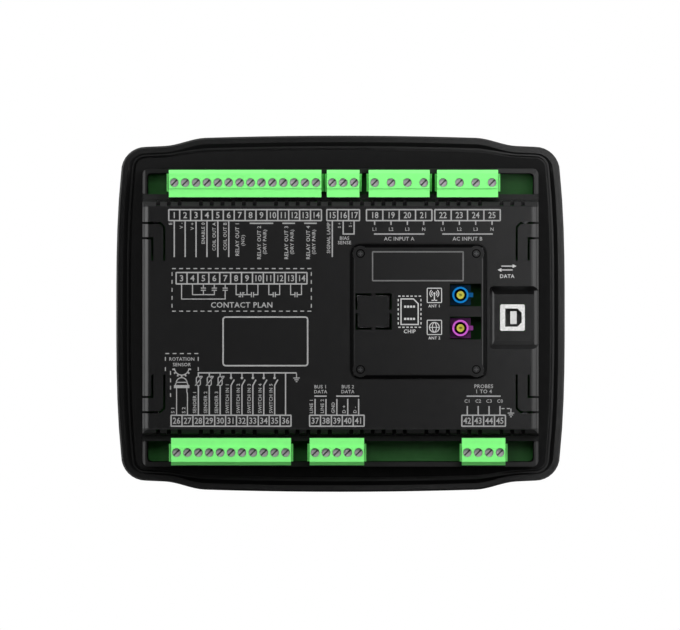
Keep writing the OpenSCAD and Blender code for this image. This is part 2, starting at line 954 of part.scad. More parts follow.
// Pocket round the data socket, grown by a wall thickness
module usb_pocket(grow) {
    top = rear_depth + eps;
    steep_h = pocket_h - pocket_gentle_h;
    rise = pocket_steep / steep_h;
    end_rise = pocket_end / steep_h;
    knee = rear_depth - steep_h - grow;
    half = pocket_half_h + grow - pocket_steep;
    end = pocket_x - grow + pocket_end;
    far = body_w / 2 + over;
    floor_at = pocket_floor - grow;
    intersection() {
        across(2 * far)
            polygon([
                [-top, half + rise * (top - knee)], [-knee, half], [-floor_at, half - pocket_gentle],
                [-floor_at, pocket_gentle - half], [-knee, -half], [-top, -half - rise * (top - knee)]
            ]);
        translate([0, 0, -body_h / 2])
            linear_extrude(body_h)
                polygon([
                    [far, -top], [end - end_rise * (top - knee), -top], [end, -knee],
                    [end + pocket_gentle / 2, -floor_at], [far, -floor_at]
                ]);
        slab(floor_at - over, top + over)
            translate([pocket_x - grow + body_w / 2, 0])
                rounded(body_w, 2 * (pocket_half_h + grow), pocket_r + grow);
    }
}

// Rounds the outer edge of the pocket floor
module pocket_edge() {
    half = body_w / 2;
    reach = pocket_half_h - pocket_steep;
    translate([0, 0, -reach])
        linear_extrude(2 * reach)
            difference() {
                translate([half - pocket_edge_r, -rear_depth])
                    square([pocket_edge_r + over, pocket_h + pocket_edge_r]);
                translate([half - pocket_edge_r, pocket_edge_r - pocket_floor])
                    circle(pocket_edge_r);
            }
}

module raised_panel() {
    half = body_w / 2;
    round_side = concat([[half, seam_depth]],
                        [for (i = [0:round_steps])
                            [half - panel_edge * (1 - cos(i * 90 / round_steps)),
                             rear_depth - panel_edge * (1 - sin(i * 90 / round_steps))]]);
    solid_section(round_side, half,
                  lean_section(panel_half_h, seam_depth, rear_depth,
                               panel_draft, [panel_chamfer, panel_chamfer]), panel_half_h);
}

module rear_cover() {
    pad_w = module_w + 2 * module_gap + 2 * ledge_out;
    pad_h = module_h + 2 * module_gap + 2 * ledge_out;
    color([0.06, 0.06, 0.06]) {
        difference() {
            union() {
                difference() {
                    union() {
                        slab(seam_depth, deck_depth)
                            square([body_w, 2 * cover_half_h], center = true);
                        raised_panel();
                    }
                    leaning_body(body_w / 2 - cover_wall, panel_half_h - cover_wall, seam_depth - over,
                                 cover_in_depth, panel_draft, [panel_chamfer, panel_chamfer]);
                }
                place(module_x, module_z)
                    slab(module_low - ledge_t, cover_in_depth + eps)
                        rounded(pad_w, pad_h, module_corner_r + ledge_out);
                intersection() {
                    usb_pocket(pocket_wall);
                    raised_panel();
                }
                quarters()
                    slab(rear_depth - eps, rear_depth + arm_rise)
                        arm_pad();
            }
            for (i = [-vent_count:vent_count], s = [0, 1])
                if (i % vent_skip != 0)
                    mirror([0, 0, s])
                        translate([i * vent_pitch - vent_w / 2, -rear_depth - over,
                                   panel_half_h - panel_edge])
                            cube([vent_w, rear_depth + over - vent_low, panel_edge + over]);
            for (i = [-vent_count:vent_count], s = [0, 1])
                if (i % vent_skip != 0)
                    mirror([0, 0, s])
                        translate([i * vent_pitch - vent_w / 2, -vent_high,
                                   panel_half_h - panel_edge - cover_wall])
                            cube([vent_w, vent_high - vent_low, panel_edge + cover_wall + over]);
            place(module_x, module_z) {
                slab(module_low, rear_depth + over)
                    rounded(module_w + 2 * module_gap, module_h + 2 * module_gap,
                            module_corner_r + module_gap);
                slab(seam_depth, rear_depth) {
                    square([module_w - 2 * ledge_in, 2 * ledge_cut], center = true);
                    square([2 * ledge_cut, module_h - 2 * ledge_in], center = true);
                }
                quarters()
                    place(module_screw_at, module_screw_at)
                        rod(module_shank_r + fit / 2, module_low - ledge_t - over, rear_depth);
            }
            usb_pocket(0);
            pocket_edge();
            place(usb_x, 0)
                slab(seam_depth, rear_depth)
                    square([usb_w + 2 * usb_gap, usb_h + 2 * usb_gap], center = true);
            quarters()
                slab(seam_depth - over, rear_depth + over)
                    arm_slots();
        }
        quarters()
            arm_hook();
    }
}

module cross_screw(low, high, head_h, r, shank) {
    difference() {
        union() {
            rod(r, high - head_h, high);
            rod(shank, low, high - head_h + eps);
        }
        slab(high - cross_t, high + over) {
            square([cross_len, cross_w], center = true);
            square([cross_w, cross_len], center = true);
        }
    }
}

module module_screws() {
    color([0.3, 0.3, 0.31])
        place(module_x, module_z)
            quarters()
                place(module_screw_at, module_screw_at)
                    cross_screw(module_low - ledge_t + fit,
                                rear_depth - module_drop - module_pocket_t + module_head_h,
                                module_head_h, module_head_r, module_shank_r);
}

module module_cover() {
    top = rear_depth - module_drop;
    color([0.06, 0.06, 0.06])
        place(module_x, module_z)
            difference() {
                union() {
                    intersection() {
                        slab(module_low, top)
                            rounded(module_w, module_h, module_corner_r);
                        leaning_body(module_w / 2, module_h / 2, module_low, top, 0, module_bevel);
                    }
                    quarters()
                        place(module_screw_at, module_screw_at)
                            rod(module_boss_r, module_low, top);
                    quarters()
                        place(module_post_at, module_post_at)
                            rod(post_r, module_board_depth, module_low + eps);
                }
                quarters()
                    place(module_screw_at, module_screw_at) {
                        rod(module_pocket_r, top - module_pocket_t, top + over);
                        rod(module_shank_r + fit / 2, module_low - over, top);
                    }
                quarters()
                    place(module_post_at, module_post_at)
                        rod(pilot_r, module_board_depth - over, module_board_depth + screw_reach);
                slab(module_low - over, top + over) {
                    translate([-knockout_at, 0])
                        difference() {
                            square(knockout_w, center = true);
                            square(knockout_w - 2 * knockout_slot, center = true);
                            square([knockout_w + over, knockout_tab], center = true);
                            square([knockout_tab, knockout_w + over], center = true);
                        }
                    for (s = [-1, 1])
                        translate([socket_window_at, s * socket_pitch / 2])
                            square([socket_window_w, socket_window_h], center = true);
                }
            }
}

module module_board() {
    color([0.07, 0.3, 0.1])
        place(module_x, module_z)
            difference() {
                slab(module_board_depth - board_t, module_board_depth)
                    square([module_board_w, module_board_h], center = true);
                quarters()
                    place(module_post_at, module_post_at)
                        rod(pilot_r, module_board_depth - board_t - over, module_board_depth + over);
            }
}

module card_holder() {
    color([0.7, 0.71, 0.72])
        place(module_x - knockout_at, module_z)
            slab(module_board_depth, module_board_depth + holder_h)
                square([holder_w, holder_w], center = true);
}

// Keyed coaxial socket, above or below the middle of the module
module coax_socket(s, tint) {
    color(tint)
        place(module_x + socket_at, module_z + s * socket_pitch / 2)
            difference() {
                union() {
                    slab(module_board_depth, socket_base_top)
                        square([socket_w, socket_w], center = true);
                    rod(collar_r, socket_base_top - eps, collar_top);
                    slab(socket_base_top - eps, collar_top - key_tab_drop)
                        translate([collar_r - collar_wall / 2, -key_tab / 2])
                            square([key_tab + collar_wall / 2, key_tab]);
                }
                rod(collar_r - collar_wall, module_board_depth + socket_floor, collar_top + over);
                rod(contact_r + fit / 2, module_board_depth - over, collar_top);
            }
}

module socket_contacts() {
    color([0.85, 0.8, 0.3])
        for (s = [-1, 1])
            place(module_x + socket_at, module_z + s * socket_pitch / 2)
                difference() {
                    rod(contact_r, module_board_depth, collar_top - contact_drop);
                    rod(contact_bore_r, collar_top - contact_drop - contact_bore, collar_top);
                }
}

// Socket opening with the two cut corners on its right
module usb_opening() {
    w = usb_hole_w / 2;
    h = usb_hole_h / 2;
    polygon([
        [-w, -h], [w - usb_cut, -h], [w, usb_cut - h], [w, h - usb_cut], [w - usb_cut, h], [-w, h]
    ]);
}

module usb_shell() {
    color([0.8, 0.8, 0.8])
        place(usb_x, 0)
            difference() {
                slab(main_depth, usb_face)
                    rounded(usb_w, usb_h, usb_r);
                slab(usb_face - usb_cavity, usb_face + over)
                    translate([usb_hole_x, 0])
                        usb_opening();
            }
}

module usb_tongue() {
    color([0.93, 0.93, 0.92])
        place(usb_x + usb_hole_x, 0)
            slab(usb_face - usb_cavity, usb_face - tongue_short)
                square([tongue_w, tongue_h], center = true);
}

front_housing();
panel_gasket();
faceplate();
display_window();
lcd_module();
display_board();
keypad_mat();
indicator_lenses();
mode_key(0, [0.75, 0.1, 0.08]);  // key_stop
mode_key(1, [0.55, 0.57, 0.6]);  // key_manual
mode_key(2, [0.55, 0.57, 0.6]);  // key_auto
mode_key(3, [0.1, 0.5, 0.15]);  // key_start
menu_key(0);  // key_up
menu_key(1);  // key_down
menu_key(2);  // key_enter
menu_key(3);  // key_back
main_board();
board_links();
board_screws();
relays();
processor();
header_pins();
for (b = blocks) {
    terminal_header(b);
    terminal_plug(b);
    terminal_screws(b);
    wire_cages(b);
}
rear_cover();
module_cover();
module_screws();
module_board();
card_holder();
coax_socket(1, [0, 0.4, 0.85]);  // socket_blue
coax_socket(-1, [0.75, 0.3, 0.78]);  // socket_violet
socket_contacts();
usb_shell();
usb_tongue();
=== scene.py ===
import math

import bmesh
import bpy
from mathutils import Matrix, Vector


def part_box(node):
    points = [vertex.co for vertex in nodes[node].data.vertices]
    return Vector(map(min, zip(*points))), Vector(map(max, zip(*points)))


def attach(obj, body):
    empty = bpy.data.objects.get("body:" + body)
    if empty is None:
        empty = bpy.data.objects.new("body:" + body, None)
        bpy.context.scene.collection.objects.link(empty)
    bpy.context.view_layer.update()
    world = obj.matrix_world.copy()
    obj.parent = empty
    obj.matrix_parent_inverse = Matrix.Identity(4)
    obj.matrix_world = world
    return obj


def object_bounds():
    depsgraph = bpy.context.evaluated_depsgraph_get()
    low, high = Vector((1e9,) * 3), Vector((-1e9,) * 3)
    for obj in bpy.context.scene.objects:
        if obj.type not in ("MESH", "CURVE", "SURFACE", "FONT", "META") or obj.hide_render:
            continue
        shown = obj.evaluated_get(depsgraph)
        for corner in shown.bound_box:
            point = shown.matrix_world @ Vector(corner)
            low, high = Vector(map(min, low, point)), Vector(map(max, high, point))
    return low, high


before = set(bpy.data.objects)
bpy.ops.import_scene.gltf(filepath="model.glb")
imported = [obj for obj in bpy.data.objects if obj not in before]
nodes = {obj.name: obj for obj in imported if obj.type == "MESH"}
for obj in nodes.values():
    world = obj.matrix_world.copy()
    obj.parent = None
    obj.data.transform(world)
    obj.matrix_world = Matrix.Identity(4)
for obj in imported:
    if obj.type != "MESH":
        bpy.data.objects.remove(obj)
cad_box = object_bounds()

# Units: the drawing helpers work in millimetres, Blender in metres
MM = 0.001

# The photograph shows the rear straight on, at this scale and with this point in its middle
PHOTO_W = 680
PX_PER_MM = 2.146
VIEW_X = -0.23
VIEW_Z = 1.21

# Thickness of printed ink over and under the surface that carries it
INK_OVER = 0.04
INK_UNDER = 0.02

# Line widths, letter heights and dashes of the print
FRAME_LINE = 0.62
LEAD_LINE = 0.6
THIN_LINE = 0.45
DIGIT_H = 2.75
LABEL_H = 1.5
TITLE_H = 1.65
SMALL_H = 1.25
CAPTION_H = 2.45
DASH = 1.8
DASH_GAP = 1.6

# Terminal numbers: the cells stand over their poles
CELL_H = 5.1
CELL_TOP_Z = 47.75
CELL_LOW_Z = -48.05
CELL_CORNER = 0.25
CELL_TOP_EDGE = CELL_TOP_Z - CELL_H / 2 - FRAME_LINE / 2
CELL_LOW_EDGE = CELL_LOW_Z + CELL_H / 2 + FRAME_LINE / 2
FINE_PITCH = 5.08
WIDE_PITCH = 7.62
TWO_DIGITS_NARROW = 0.9

# Leads: the long upper ones end at this height, and words stand beside them, starting near the cells
LEAD_END = 28.2
LABEL_GAP = 1.75
WORD_GAP = 0.6
TOP_WORDS = (CELL_TOP_EDGE - WORD_GAP, "RIGHT")
LOW_WORDS = (CELL_LOW_EDGE + WORD_GAP, "LEFT")

# Bars along groups of poles, and how far they run past the outer poles
RELAY_BAR_Z = 43.95
RELAY_BAR_OVER = 0.4
INPUT_BAR_Z = 38.95
LOW_BAR_Z = -36.6
BAR_OVER = 0.3

# First number, poles, pitch and row of each terminal plug
PLUGS = {
    "a": (1, 14, FINE_PITCH, CELL_TOP_Z),
    "b": (15, 3, FINE_PITCH, CELL_TOP_Z),
    "c": (18, 4, WIDE_PITCH, CELL_TOP_Z),
    "d": (22, 4, WIDE_PITCH, CELL_TOP_Z),
    "e": (26, 11, FINE_PITCH, CELL_LOW_Z),
    "f": (37, 5, FINE_PITCH, CELL_LOW_Z),
    "g": (42, 4, FINE_PITCH, CELL_LOW_Z),
}


def mm_box(name):
    """Lowest and highest corner of a CAD node, in millimetres."""
    low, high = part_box(name)
    return low / MM, high / MM


def pole_x(plug, i):
    """Where pole i of a plug stands across the case."""
    low, high = mm_box("plug_" + plug)
    _, poles, pitch, _ = PLUGS[plug]
    return (low.x + high.x) / 2 + (i - (poles - 1) / 2) * pitch


# Shader nodes

WHITE = (1, 1, 1, 1)
NO_TRACK = (0, 0, 0, 1)
# Part of a noise's range over which colour and gloss change
NOISE_SPAN = (0.3, 0.7)


def feed(tree, value, slot):
    """Gives an input another node's output or a plain value."""
    if isinstance(value, bpy.types.NodeSocket):
        tree.links.new(value, slot)
    else:
        slot.default_value = value


def set_inputs(tree, node, **inputs):
    """Feeds inputs that are named by their labels, spaces written as underscores."""
    for name, value in inputs.items():
        feed(tree, value, node.inputs[name.replace("_", " ")])


def add_node(tree, kind, **inputs):
    node = tree.nodes.new(kind)
    set_inputs(tree, node, **inputs)
    return node


def maths(tree, operation, *values):
    """The output of a math node on outputs or plain numbers."""
    node = tree.nodes.new("ShaderNodeMath")
    node.operation = operation
    for slot, value in zip(node.inputs, values):
        feed(tree, value, slot)
    return node.outputs[0]


def map_range(tree, value, span, result):
    """An output that runs over the pair result while a value runs over the pair span."""
    node = add_node(tree, "ShaderNodeMapRange", Value=value, From_Min=span[0], From_Max=span[1],
                    To_Min=result[0], To_Max=result[1])
    return node.outputs["Result"]


def mix_colours(tree, factor, first, second):
    node = tree.nodes.new("ShaderNodeMix")
    node.data_type = "RGBA"
    set_inputs(tree, node, Factor=factor, A=first, B=second)
    return node.outputs["Result"]


def mix_shaders(tree, factor, first, second):
    node = tree.nodes.new("ShaderNodeMixShader")
    for slot, value in zip(node.inputs, (factor, first, second)):
        feed(tree, value, slot)
    return node.outputs[0]


def position(tree):
    """Where a shaded point lies, in its object's own frame."""
    return tree.nodes.new("ShaderNodeTexCoord").outputs["Object"]


def axes_of(tree, vector):
    return add_node(tree, "ShaderNodeSeparateXYZ", Vector=vector).outputs


def noise(tree, place, scale, **inputs):
    return add_node(tree, "ShaderNodeTexNoise", Vector=place, Scale=scale, **inputs).outputs["Fac"]


def shade(colour, factor):
    return tuple(min(c * factor, 1.0) for c in colour) + (1.0,)


def clouded(tree, cloud, colour, tone):
    """A colour that a noise makes darker and lighter by the share tone."""
    node = add_node(tree, "ShaderNodeValToRGB", Fac=cloud)
    for element, place, factor in zip(node.color_ramp.elements, NOISE_SPAN, (1 - tone, 1 + tone)):
        element.position = place
        element.color = shade(colour, factor)
    return node.outputs["Color"]


# Materials

# Depth of a moulded grain
GRAIN_DEPTH = 0.05 * MM
# Fineness of the clouds in a second colour, per metre
SPOT_SCALE = 900.0
# Depth over which gloss fades, and how far under a face a slot begins
DULL_FADE = 0.1 * MM
FACE_SKIN = 0.05 * MM
# Distance between the tracks of a board
TRACK_PITCH = 2.4 * MM


def surface(name, colour, roughness, tone=0.12, tone_scale=220.0, grain=0.0, grain_scale=5000.0, **inputs):
    """Material with clouded colour, uneven gloss and a moulded grain; scales are per metre."""
    material = bpy.data.materials.new(name)
    material.use_nodes = True
    tree = material.node_tree
    shader = tree.nodes["Principled BSDF"]
    place = position(tree)
    cloud = noise(tree, place, tone_scale, Detail=4.0, Roughness=0.6)
    gloss = map_range(tree, cloud, NOISE_SPAN, (roughness * (1 - tone), roughness * (1 + tone)))
    set_inputs(tree, shader, Base_Color=clouded(tree, cloud, colour, tone), Roughness=gloss, **inputs)
    if grain:
        pores = noise(tree, place, grain_scale, Detail=2.0)
        bump = add_node(tree, "ShaderNodeBump", Strength=grain, Distance=GRAIN_DEPTH, Height=pores)
        set_inputs(tree, shader, Normal=bump.outputs["Normal"])
    return material


def metal(name, colour, roughness):
    return surface(name, colour, roughness, tone=0.1, tone_scale=1500.0, grain=0.12, grain_scale=9000.0,
                   Metallic=1.0)


def paint_over(material, factor, colour):
    """Lays another colour over a material's own, as far as a factor says."""
    tree = material.node_tree
    base = tree.nodes["Principled BSDF"].inputs["Base Color"]
    feed(tree, mix_colours(tree, factor, base.links[0].from_socket, colour), base)


def change_gloss(material, factor, span, level):
    """Brings a material's reflection to a level while a factor runs over the pair span."""
    tree = material.node_tree
    gloss = tree.nodes["Principled BSDF"].inputs["Specular IOR Level"]
    feed(tree, map_range(tree, factor, span, (gloss.default_value, level)), gloss)


def two_tone(material, y_split, colour, tone=0.12):
    """Gives another colour to what lies in front of a depth: a real second colour, as on a display in its
    frame, and painted shade and painted highlights in slots, recesses and socket windows.
    """
    tree = material.node_tree
    place = position(tree)
    in_front = maths(tree, "LESS_THAN", axes_of(tree, place)["Y"], y_split)
    spots = noise(tree, place, SPOT_SCALE, Detail=3.0)
    paint_over(material, in_front, clouded(tree, spots, colour, tone))
    return material


def dull_behind(material, y_split, level):
    """Takes the gloss off what lies behind a depth, such as the edge of a lid in its seat."""
    tree = material.node_tree
    change_gloss(material, axes_of(tree, position(tree))["Y"], (y_split, y_split + DULL_FADE), level)
    return material


def matt_slots(material, y_face, z_edge, colour, level):
    """Makes what lies behind a face, above and below its edges, matt, and paints it a lighter grey: painted
    light on the deck strips, chamfers and vents there.
    """
    tree = material.node_tree
    axes = axes_of(tree, position(tree))
    past = maths(tree, "GREATER_THAN", maths(tree, "ABSOLUTE", axes["Z"]), z_edge)
    behind = maths(tree, "GREATER_THAN", axes["Y"], y_face + FACE_SKIN)
    painted_light_zone = maths(tree, "MULTIPLY", past, behind)
    paint_over(material, painted_light_zone, colour + (1.0,))
    change_gloss(material, painted_light_zone, (0.0, 1.0), level)
    return material


def traces(material, colour):
    """Copper tracks under the lacquer of a circuit board, as lighter lines."""
    tree = material.node_tree
    turned = add_node(tree, "ShaderNodeMapping", Vector=position(tree), Rotation=(math.radians(90), 0, 0))
    rows = add_node(
        tree, "ShaderNodeTexBrick", Vector=turned.outputs["Vector"], Scale=1 / TRACK_PITCH,
        Mortar_Size=0.03, Brick_Width=3.0, Row_Height=1.0, Color1=NO_TRACK, Color2=NO_TRACK, Mortar=WHITE,
    )
    paint_over(material, rows.outputs["Color"], colour + (1.0,))
    return material


# Plastics, boards and metals of one colour

BLACK = (0.006, 0.006, 0.0062)
bezel_shell = surface("bezel_shell", BLACK, 0.3, tone=0.04, grain=0.08, Specular_IOR_Level=0.38)
gasket = surface("gasket", (0.0042, 0.0042, 0.0043), 0.75, grain=0.3, grain_scale=2500.0,
                 Specular_IOR_Level=0.1)
plug_green = surface("plug_green", (0.22, 0.93, 0.22), 0.42, tone=0.03, grain=0.08, Specular_IOR_Level=0.3)
# Painted shade: the headers get a darker copy of the plug green, for the shade they sit in deep in the
# slots.
header_green = surface("header_green", (0.16, 0.68, 0.16), 0.45, tone=0.05, grain=0.08,
                       Specular_IOR_Level=0.3)
board = traces(surface("board", (0.022, 0.094, 0.023), 0.4, tone=0.1, Specular_IOR_Level=0.12),
               (0.025, 0.1, 0.026))
# Painted shade: the radio module's board gets a darker copy of the main board's green, for the shade in its
# windows.
shaded_module_green = traces(surface("shaded_module_green", (0.009, 0.04, 0.0095), 0.45, tone=0.1,
                              Specular_IOR_Level=0.05), (0.011, 0.045, 0.0115))
bright_steel = metal("bright_steel", (0.62, 0.62, 0.64), 0.35)
pin_metal = metal("pin_metal", (0.72, 0.68, 0.55), 0.3)
tongue_white = surface("tongue_white", (0.6, 0.6, 0.59), 0.5, grain=0.1)
contact_gold = surface("contact_gold", (0.52, 0.5, 0.05), 0.35, tone=0.08, tone_scale=1500.0, grain=0.1,
                       Metallic=0.35)
black_part = surface("black_part", (0.012, 0.012, 0.0125), 0.5, grain=0.15, Specular_IOR_Level=0.25)
mat_rubber = surface("mat_rubber", (0.2, 0.2, 0.21), 0.65, grain=0.15)
lens_clear = surface("lens_clear", (0.62, 0.62, 0.58), 0.18, tone=0.05, Coat_Weight=0.4)
faceplate_film = surface("faceplate_film", (0.018, 0.019, 0.021), 0.45, grain=0.3, grain_scale=3000.0,
                         Specular_IOR_Level=0.3)
key_red = surface("key_red", (0.45, 0.018, 0.014), 0.42, tone=0.06, grain=0.15)
key_grey = surface("key_grey", (0.24, 0.25, 0.27), 0.45, tone=0.06, grain=0.15)
key_green = surface("key_green", (0.025, 0.26, 0.05), 0.42, tone=0.06, grain=0.15)
window_clear = surface("window_clear", (0.82, 0.86, 0.86), 0.06, tone=0.02, Transmission_Weight=0.85,
                       IOR=1.49)

# Inks

INK_SCALE = 1800.0
ink = surface("ink", (0.34, 0.34, 0.34), 0.6, tone_scale=INK_SCALE, Specular_IOR_Level=0.2)
dim_ink = surface("dim_ink", (0.14, 0.14, 0.14), 0.6, tone_scale=INK_SCALE, Specular_IOR_Level=0.2)
bright_ink = surface("bright_ink", (0.55, 0.55, 0.55), 0.6, tone=0.08, tone_scale=INK_SCALE,
                     Specular_IOR_Level=0.2)
key_ink = surface("key_ink", (0.75, 0.75, 0.75), 0.55, tone=0.06, tone_scale=INK_SCALE)

# Parts whose colour or gloss changes with depth; the depths are taken from their outer faces

SLOT_EDGE = 51.6 * MM
SCREW_SLOT = 0.7 * MM
CROSS_RECESS = 0.3 * MM
LID_EDGE = 0.03 * MM
SHELL_RIM = 0.6 * MM
DISPLAY_SKIN = 0.5 * MM
SOCKET_RING = 0.7 * MM
SOCKET_COLLAR = 1.5 * MM

cover_shell = surface("cover_shell", BLACK, 0.3, tone=0.04, grain=0.08, Specular_IOR_Level=0.32)
# Painted light: the deck strips, chamfers and vents above and below the raised panel get a lighter grey than
# the black plastic.
cover_shell = matt_slots(cover_shell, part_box("rear_cover")[0].y, SLOT_EDGE, (0.02, 0.02, 0.0203), 0.06)

head_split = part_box("screws_a")[0].y + SCREW_SLOT
# Painted shade: the slots, and all that lies deeper than the head tops, get a dark steel colour; the head
# tops get the steel's own lilac grey.
terminal_steel = surface("terminal_steel", (0.06, 0.055, 0.06), 0.45, grain=0.1, Metallic=0.15)
terminal_steel = two_tone(terminal_steel, head_split, (0.38, 0.3, 0.38))

cross_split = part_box("module_screws")[0].y + CROSS_RECESS
# Painted highlight: the cross recesses, deeper than the head tops, get a lighter grey than the black head
# tops.
black_screw = surface("black_screw", (0.06, 0.06, 0.062), 0.3, grain=0.15)
black_screw = two_tone(black_screw, cross_split, BLACK)

lid_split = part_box("module_cover")[0].y + LID_EDGE
# Painted shade: the lid's edges and sides behind its rear face are near-black and without gloss, a dark
# outline round the lid in its seat; the rear face keeps the black plastic colour.
module_shell = surface("module_shell", (0.0015, 0.0015, 0.0016), 0.3, tone=0.04, grain=0.08,
                       Specular_IOR_Level=0.32)
module_shell = two_tone(module_shell, lid_split, BLACK, tone=0.04)
module_shell = dull_behind(module_shell, lid_split, 0.03)

usb_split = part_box("usb_shell")[0].y + SHELL_RIM
# Painted shade: the inside of the USB shell, deeper than its rim, gets a dark colour; the rim keeps the
# bright metal.
usb_metal = surface("usb_metal", (0.1, 0.1, 0.1), 0.4, grain=0.1, Metallic=0.3)
usb_metal = two_tone(usb_metal, usb_split, (0.68, 0.68, 0.67))

lcd_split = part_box("lcd_module")[1].y - DISPLAY_SKIN
lcd_panel = surface("lcd_panel", (0.4, 0.4, 0.41), 0.35, Metallic=0.6)
lcd_panel = two_tone(lcd_panel, lcd_split, (0.16, 0.19, 0.15))

ring_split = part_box("socket_blue")[0].y + SOCKET_RING
collar_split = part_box("socket_blue")[0].y + SOCKET_COLLAR


def socket_paint(name, base, tab, rim):
    """A socket's colours: the rim of its ring in the plastic's own colour, its key tab and base in darker
    copies as painted shade in the deep window.
    """
    paint = two_tone(surface(name, base, 0.5, Specular_IOR_Level=0.08), collar_split, tab)
    return two_tone(paint, ring_split, rim)


# Painted shade: base and tab are darker copies of each rim colour.
socket_blue = socket_paint("socket_blue", base=(0.0002, 0.0178, 0.041), tab=(0.0005, 0.085, 0.24),
                           rim=(0.001, 0.19, 0.55))
socket_violet = socket_paint("socket_violet", base=(0.074, 0.0133, 0.078), tab=(0.21, 0.036, 0.213),
                             rim=(0.58, 0.1, 0.59))

FINISH = {
    "front_housing": bezel_shell, "rear_cover": cover_shell, "module_cover": module_shell,
    "panel_gasket": gasket, "faceplate": faceplate_film, "display_window": window_clear,
    "lcd_module": lcd_panel, "display_board": board, "keypad_mat": mat_rubber,
    "indicator_lenses": lens_clear, "key_stop": key_red, "key_start": key_green,
    "main_board": board, "module_board": shaded_module_green, "board_links": black_part,
    "board_screws": bright_steel, "relays": black_part, "processor": black_part,
    "header_pins": pin_metal, "module_screws": black_screw, "card_holder": bright_steel,
    "socket_blue": socket_blue, "socket_violet": socket_violet, "socket_contacts": contact_gold,
    "usb_shell": usb_metal, "usb_tongue": tongue_white,
}
FAMILY_FINISH = {
    "key": key_grey, "header": header_green, "plug": plug_green,
    "screws": terminal_steel, "cages": bright_steel,
}
for name, node in nodes.items():
    finish = FINISH.get(name) or FAMILY_FINISH[name.split("_")[0]]
    node.data.materials.clear()
    node.data.materials.append(finish)


# Print: thin closed plates of ink, drawn in the plane of a face

# Steps in a rounded corner, and the limit that keeps the mitres of sharp corners short
CORNER_STEPS = 4
MITRE_LIMIT = 0.3
# How much letters are thickened, as a share of their height
BOLDNESS = 0.02
# Points nearer than this become one
WELD = 0.001


def rear_plane(y):
    """From a drawing in millimetres to the rear face at y, right and up as seen from behind."""
    return Matrix(((MM, 0, 0, 0), (0, 0, -MM, y), (0, MM, 0, 0), (0, 0, 0, 1)))


def front_plane(y):
    """From a drawing in millimetres to the display side at y, right and up as seen from the front."""
    return Matrix(((-MM, 0, 0, 0), (0, 0, MM, y), (0, MM, 0, 0), (0, 0, 0, 1)))


def prism(drawing, outline):
    """A plate of ink with this outline, which runs anticlockwise."""
    low = [drawing.verts.new((x, z, -INK_UNDER)) for x, z in outline]
    high = [drawing.verts.new((x, z, INK_OVER)) for x, z in outline]
    n = len(outline)
    drawing.faces.new(high)
    drawing.faces.new(low[::-1])
    for i in range(n):
        j = (i + 1) % n
        drawing.faces.new((low[i], low[j], high[j], high[i]))


def plate(drawing, x, z, half_w, half_h):
    """A filled rectangle about its middle."""
    prism(drawing, ((x - half_w, z - half_h), (x + half_w, z - half_h),
                    (x + half_w, z + half_h), (x - half_w, z + half_h)))


def mitre(before, point, after, half):
    """The offset of a line's edge at a point between two others."""
    way_in = (point - before).normalized() if before else None
    way_out = (after - point).normalized() if after else way_in
    way_in = way_in or way_out
    normal = Vector((-way_in.y - way_out.y, way_in.x + way_out.x)).normalized()
    lean = normal.dot(Vector((-way_in.y, way_in.x)))
    return normal * (half / max(lean, MITRE_LIMIT))


def ribbon(drawing, points, width, closed=False):
    """A line of ink along points."""
    points = [Vector(p) for p in points]
    n = len(points)
    rings = []
    for i, point in enumerate(points):
        before = points[i - 1] if closed or i else None
        after = points[(i + 1) % n] if closed or i < n - 1 else None
        side = mitre(before, point, after, width / 2)
        corners = ((point + side, INK_OVER), (point - side, INK_OVER), (point - side, -INK_UNDER),
                   (point + side, -INK_UNDER))
        rings.append([drawing.verts.new((p.x, p.y, h)) for p, h in corners])
    for i in range(n if closed else n - 1):
        a, b = rings[i], rings[(i + 1) % n]
        for k in range(4):
            m = (k + 1) % 4
            drawing.faces.new((a[k], a[m], b[m], b[k]))
    if not closed:
        drawing.faces.new(rings[0][::-1])
        drawing.faces.new(rings[-1])


def level_line(drawing, x0, x1, z, width=LEAD_LINE):
    ribbon(drawing, ((x0, z), (x1, z)), width)


def plumb_line(drawing, x, z0, z1, width=LEAD_LINE):
    ribbon(drawing, ((x, z0), (x, z1)), width)


def arc(x, z, r, start, end, steps=12):
    """Points on an arc, angles in degrees."""
    turns = [math.radians(start + (end - start) * i / steps) for i in range(steps + 1)]
    return [(x + r * math.cos(t), z + r * math.sin(t)) for t in turns]


def box_line(drawing, x0, z0, x1, z1, width, r):
    """A frame of ink, its corners rounded with radius r."""
    corners = ((x1, z0, -90), (x1, z1, 0), (x0, z1, 90), (x0, z0, 180))
    points = []
    for x, z, turn in corners:
        cx = x - math.copysign(r, x - (x0 + x1) / 2)
        cz = z - math.copysign(r, z - (z0 + z1) / 2)
        points += arc(cx, cz, r, turn, turn + 90, CORNER_STEPS)
    ribbon(drawing, points, width, closed=True)


def ring(drawing, x, z, r, width, steps=20):
    ribbon(drawing, arc(x, z, r, 0, 360, steps)[:-1], width, closed=True)


def disc(drawing, x, z, r):
    prism(drawing, arc(x, z, r, 0, 360)[:-1])


def dashes(drawing, start, end, width=THIN_LINE, dash=DASH, gap=DASH_GAP):
    """A dashed line with a whole dash at each end."""
    start, end = Vector(start), Vector(end)
    length = (end - start).length
    count = max(round((length - dash) / (dash + gap)), 1)
    step = (length - dash) / count
    way = (end - start).normalized()
    for i in range(count + 1):
        first = start + way * (i * step)
        ribbon(drawing, (first, first + way * dash), width)


def measure_letter():
    """Height of a capital letter at size 1."""
    curve = bpy.data.curves.new("letter", "FONT")
    curve.body = "H"
    letter = bpy.data.objects.new("letter", curve)
    bpy.context.scene.collection.objects.link(letter)
    bpy.context.view_layer.update()
    height = letter.dimensions.y
    bpy.data.objects.remove(letter)
    bpy.data.curves.remove(curve)
    return height


LETTER_H = measure_letter()


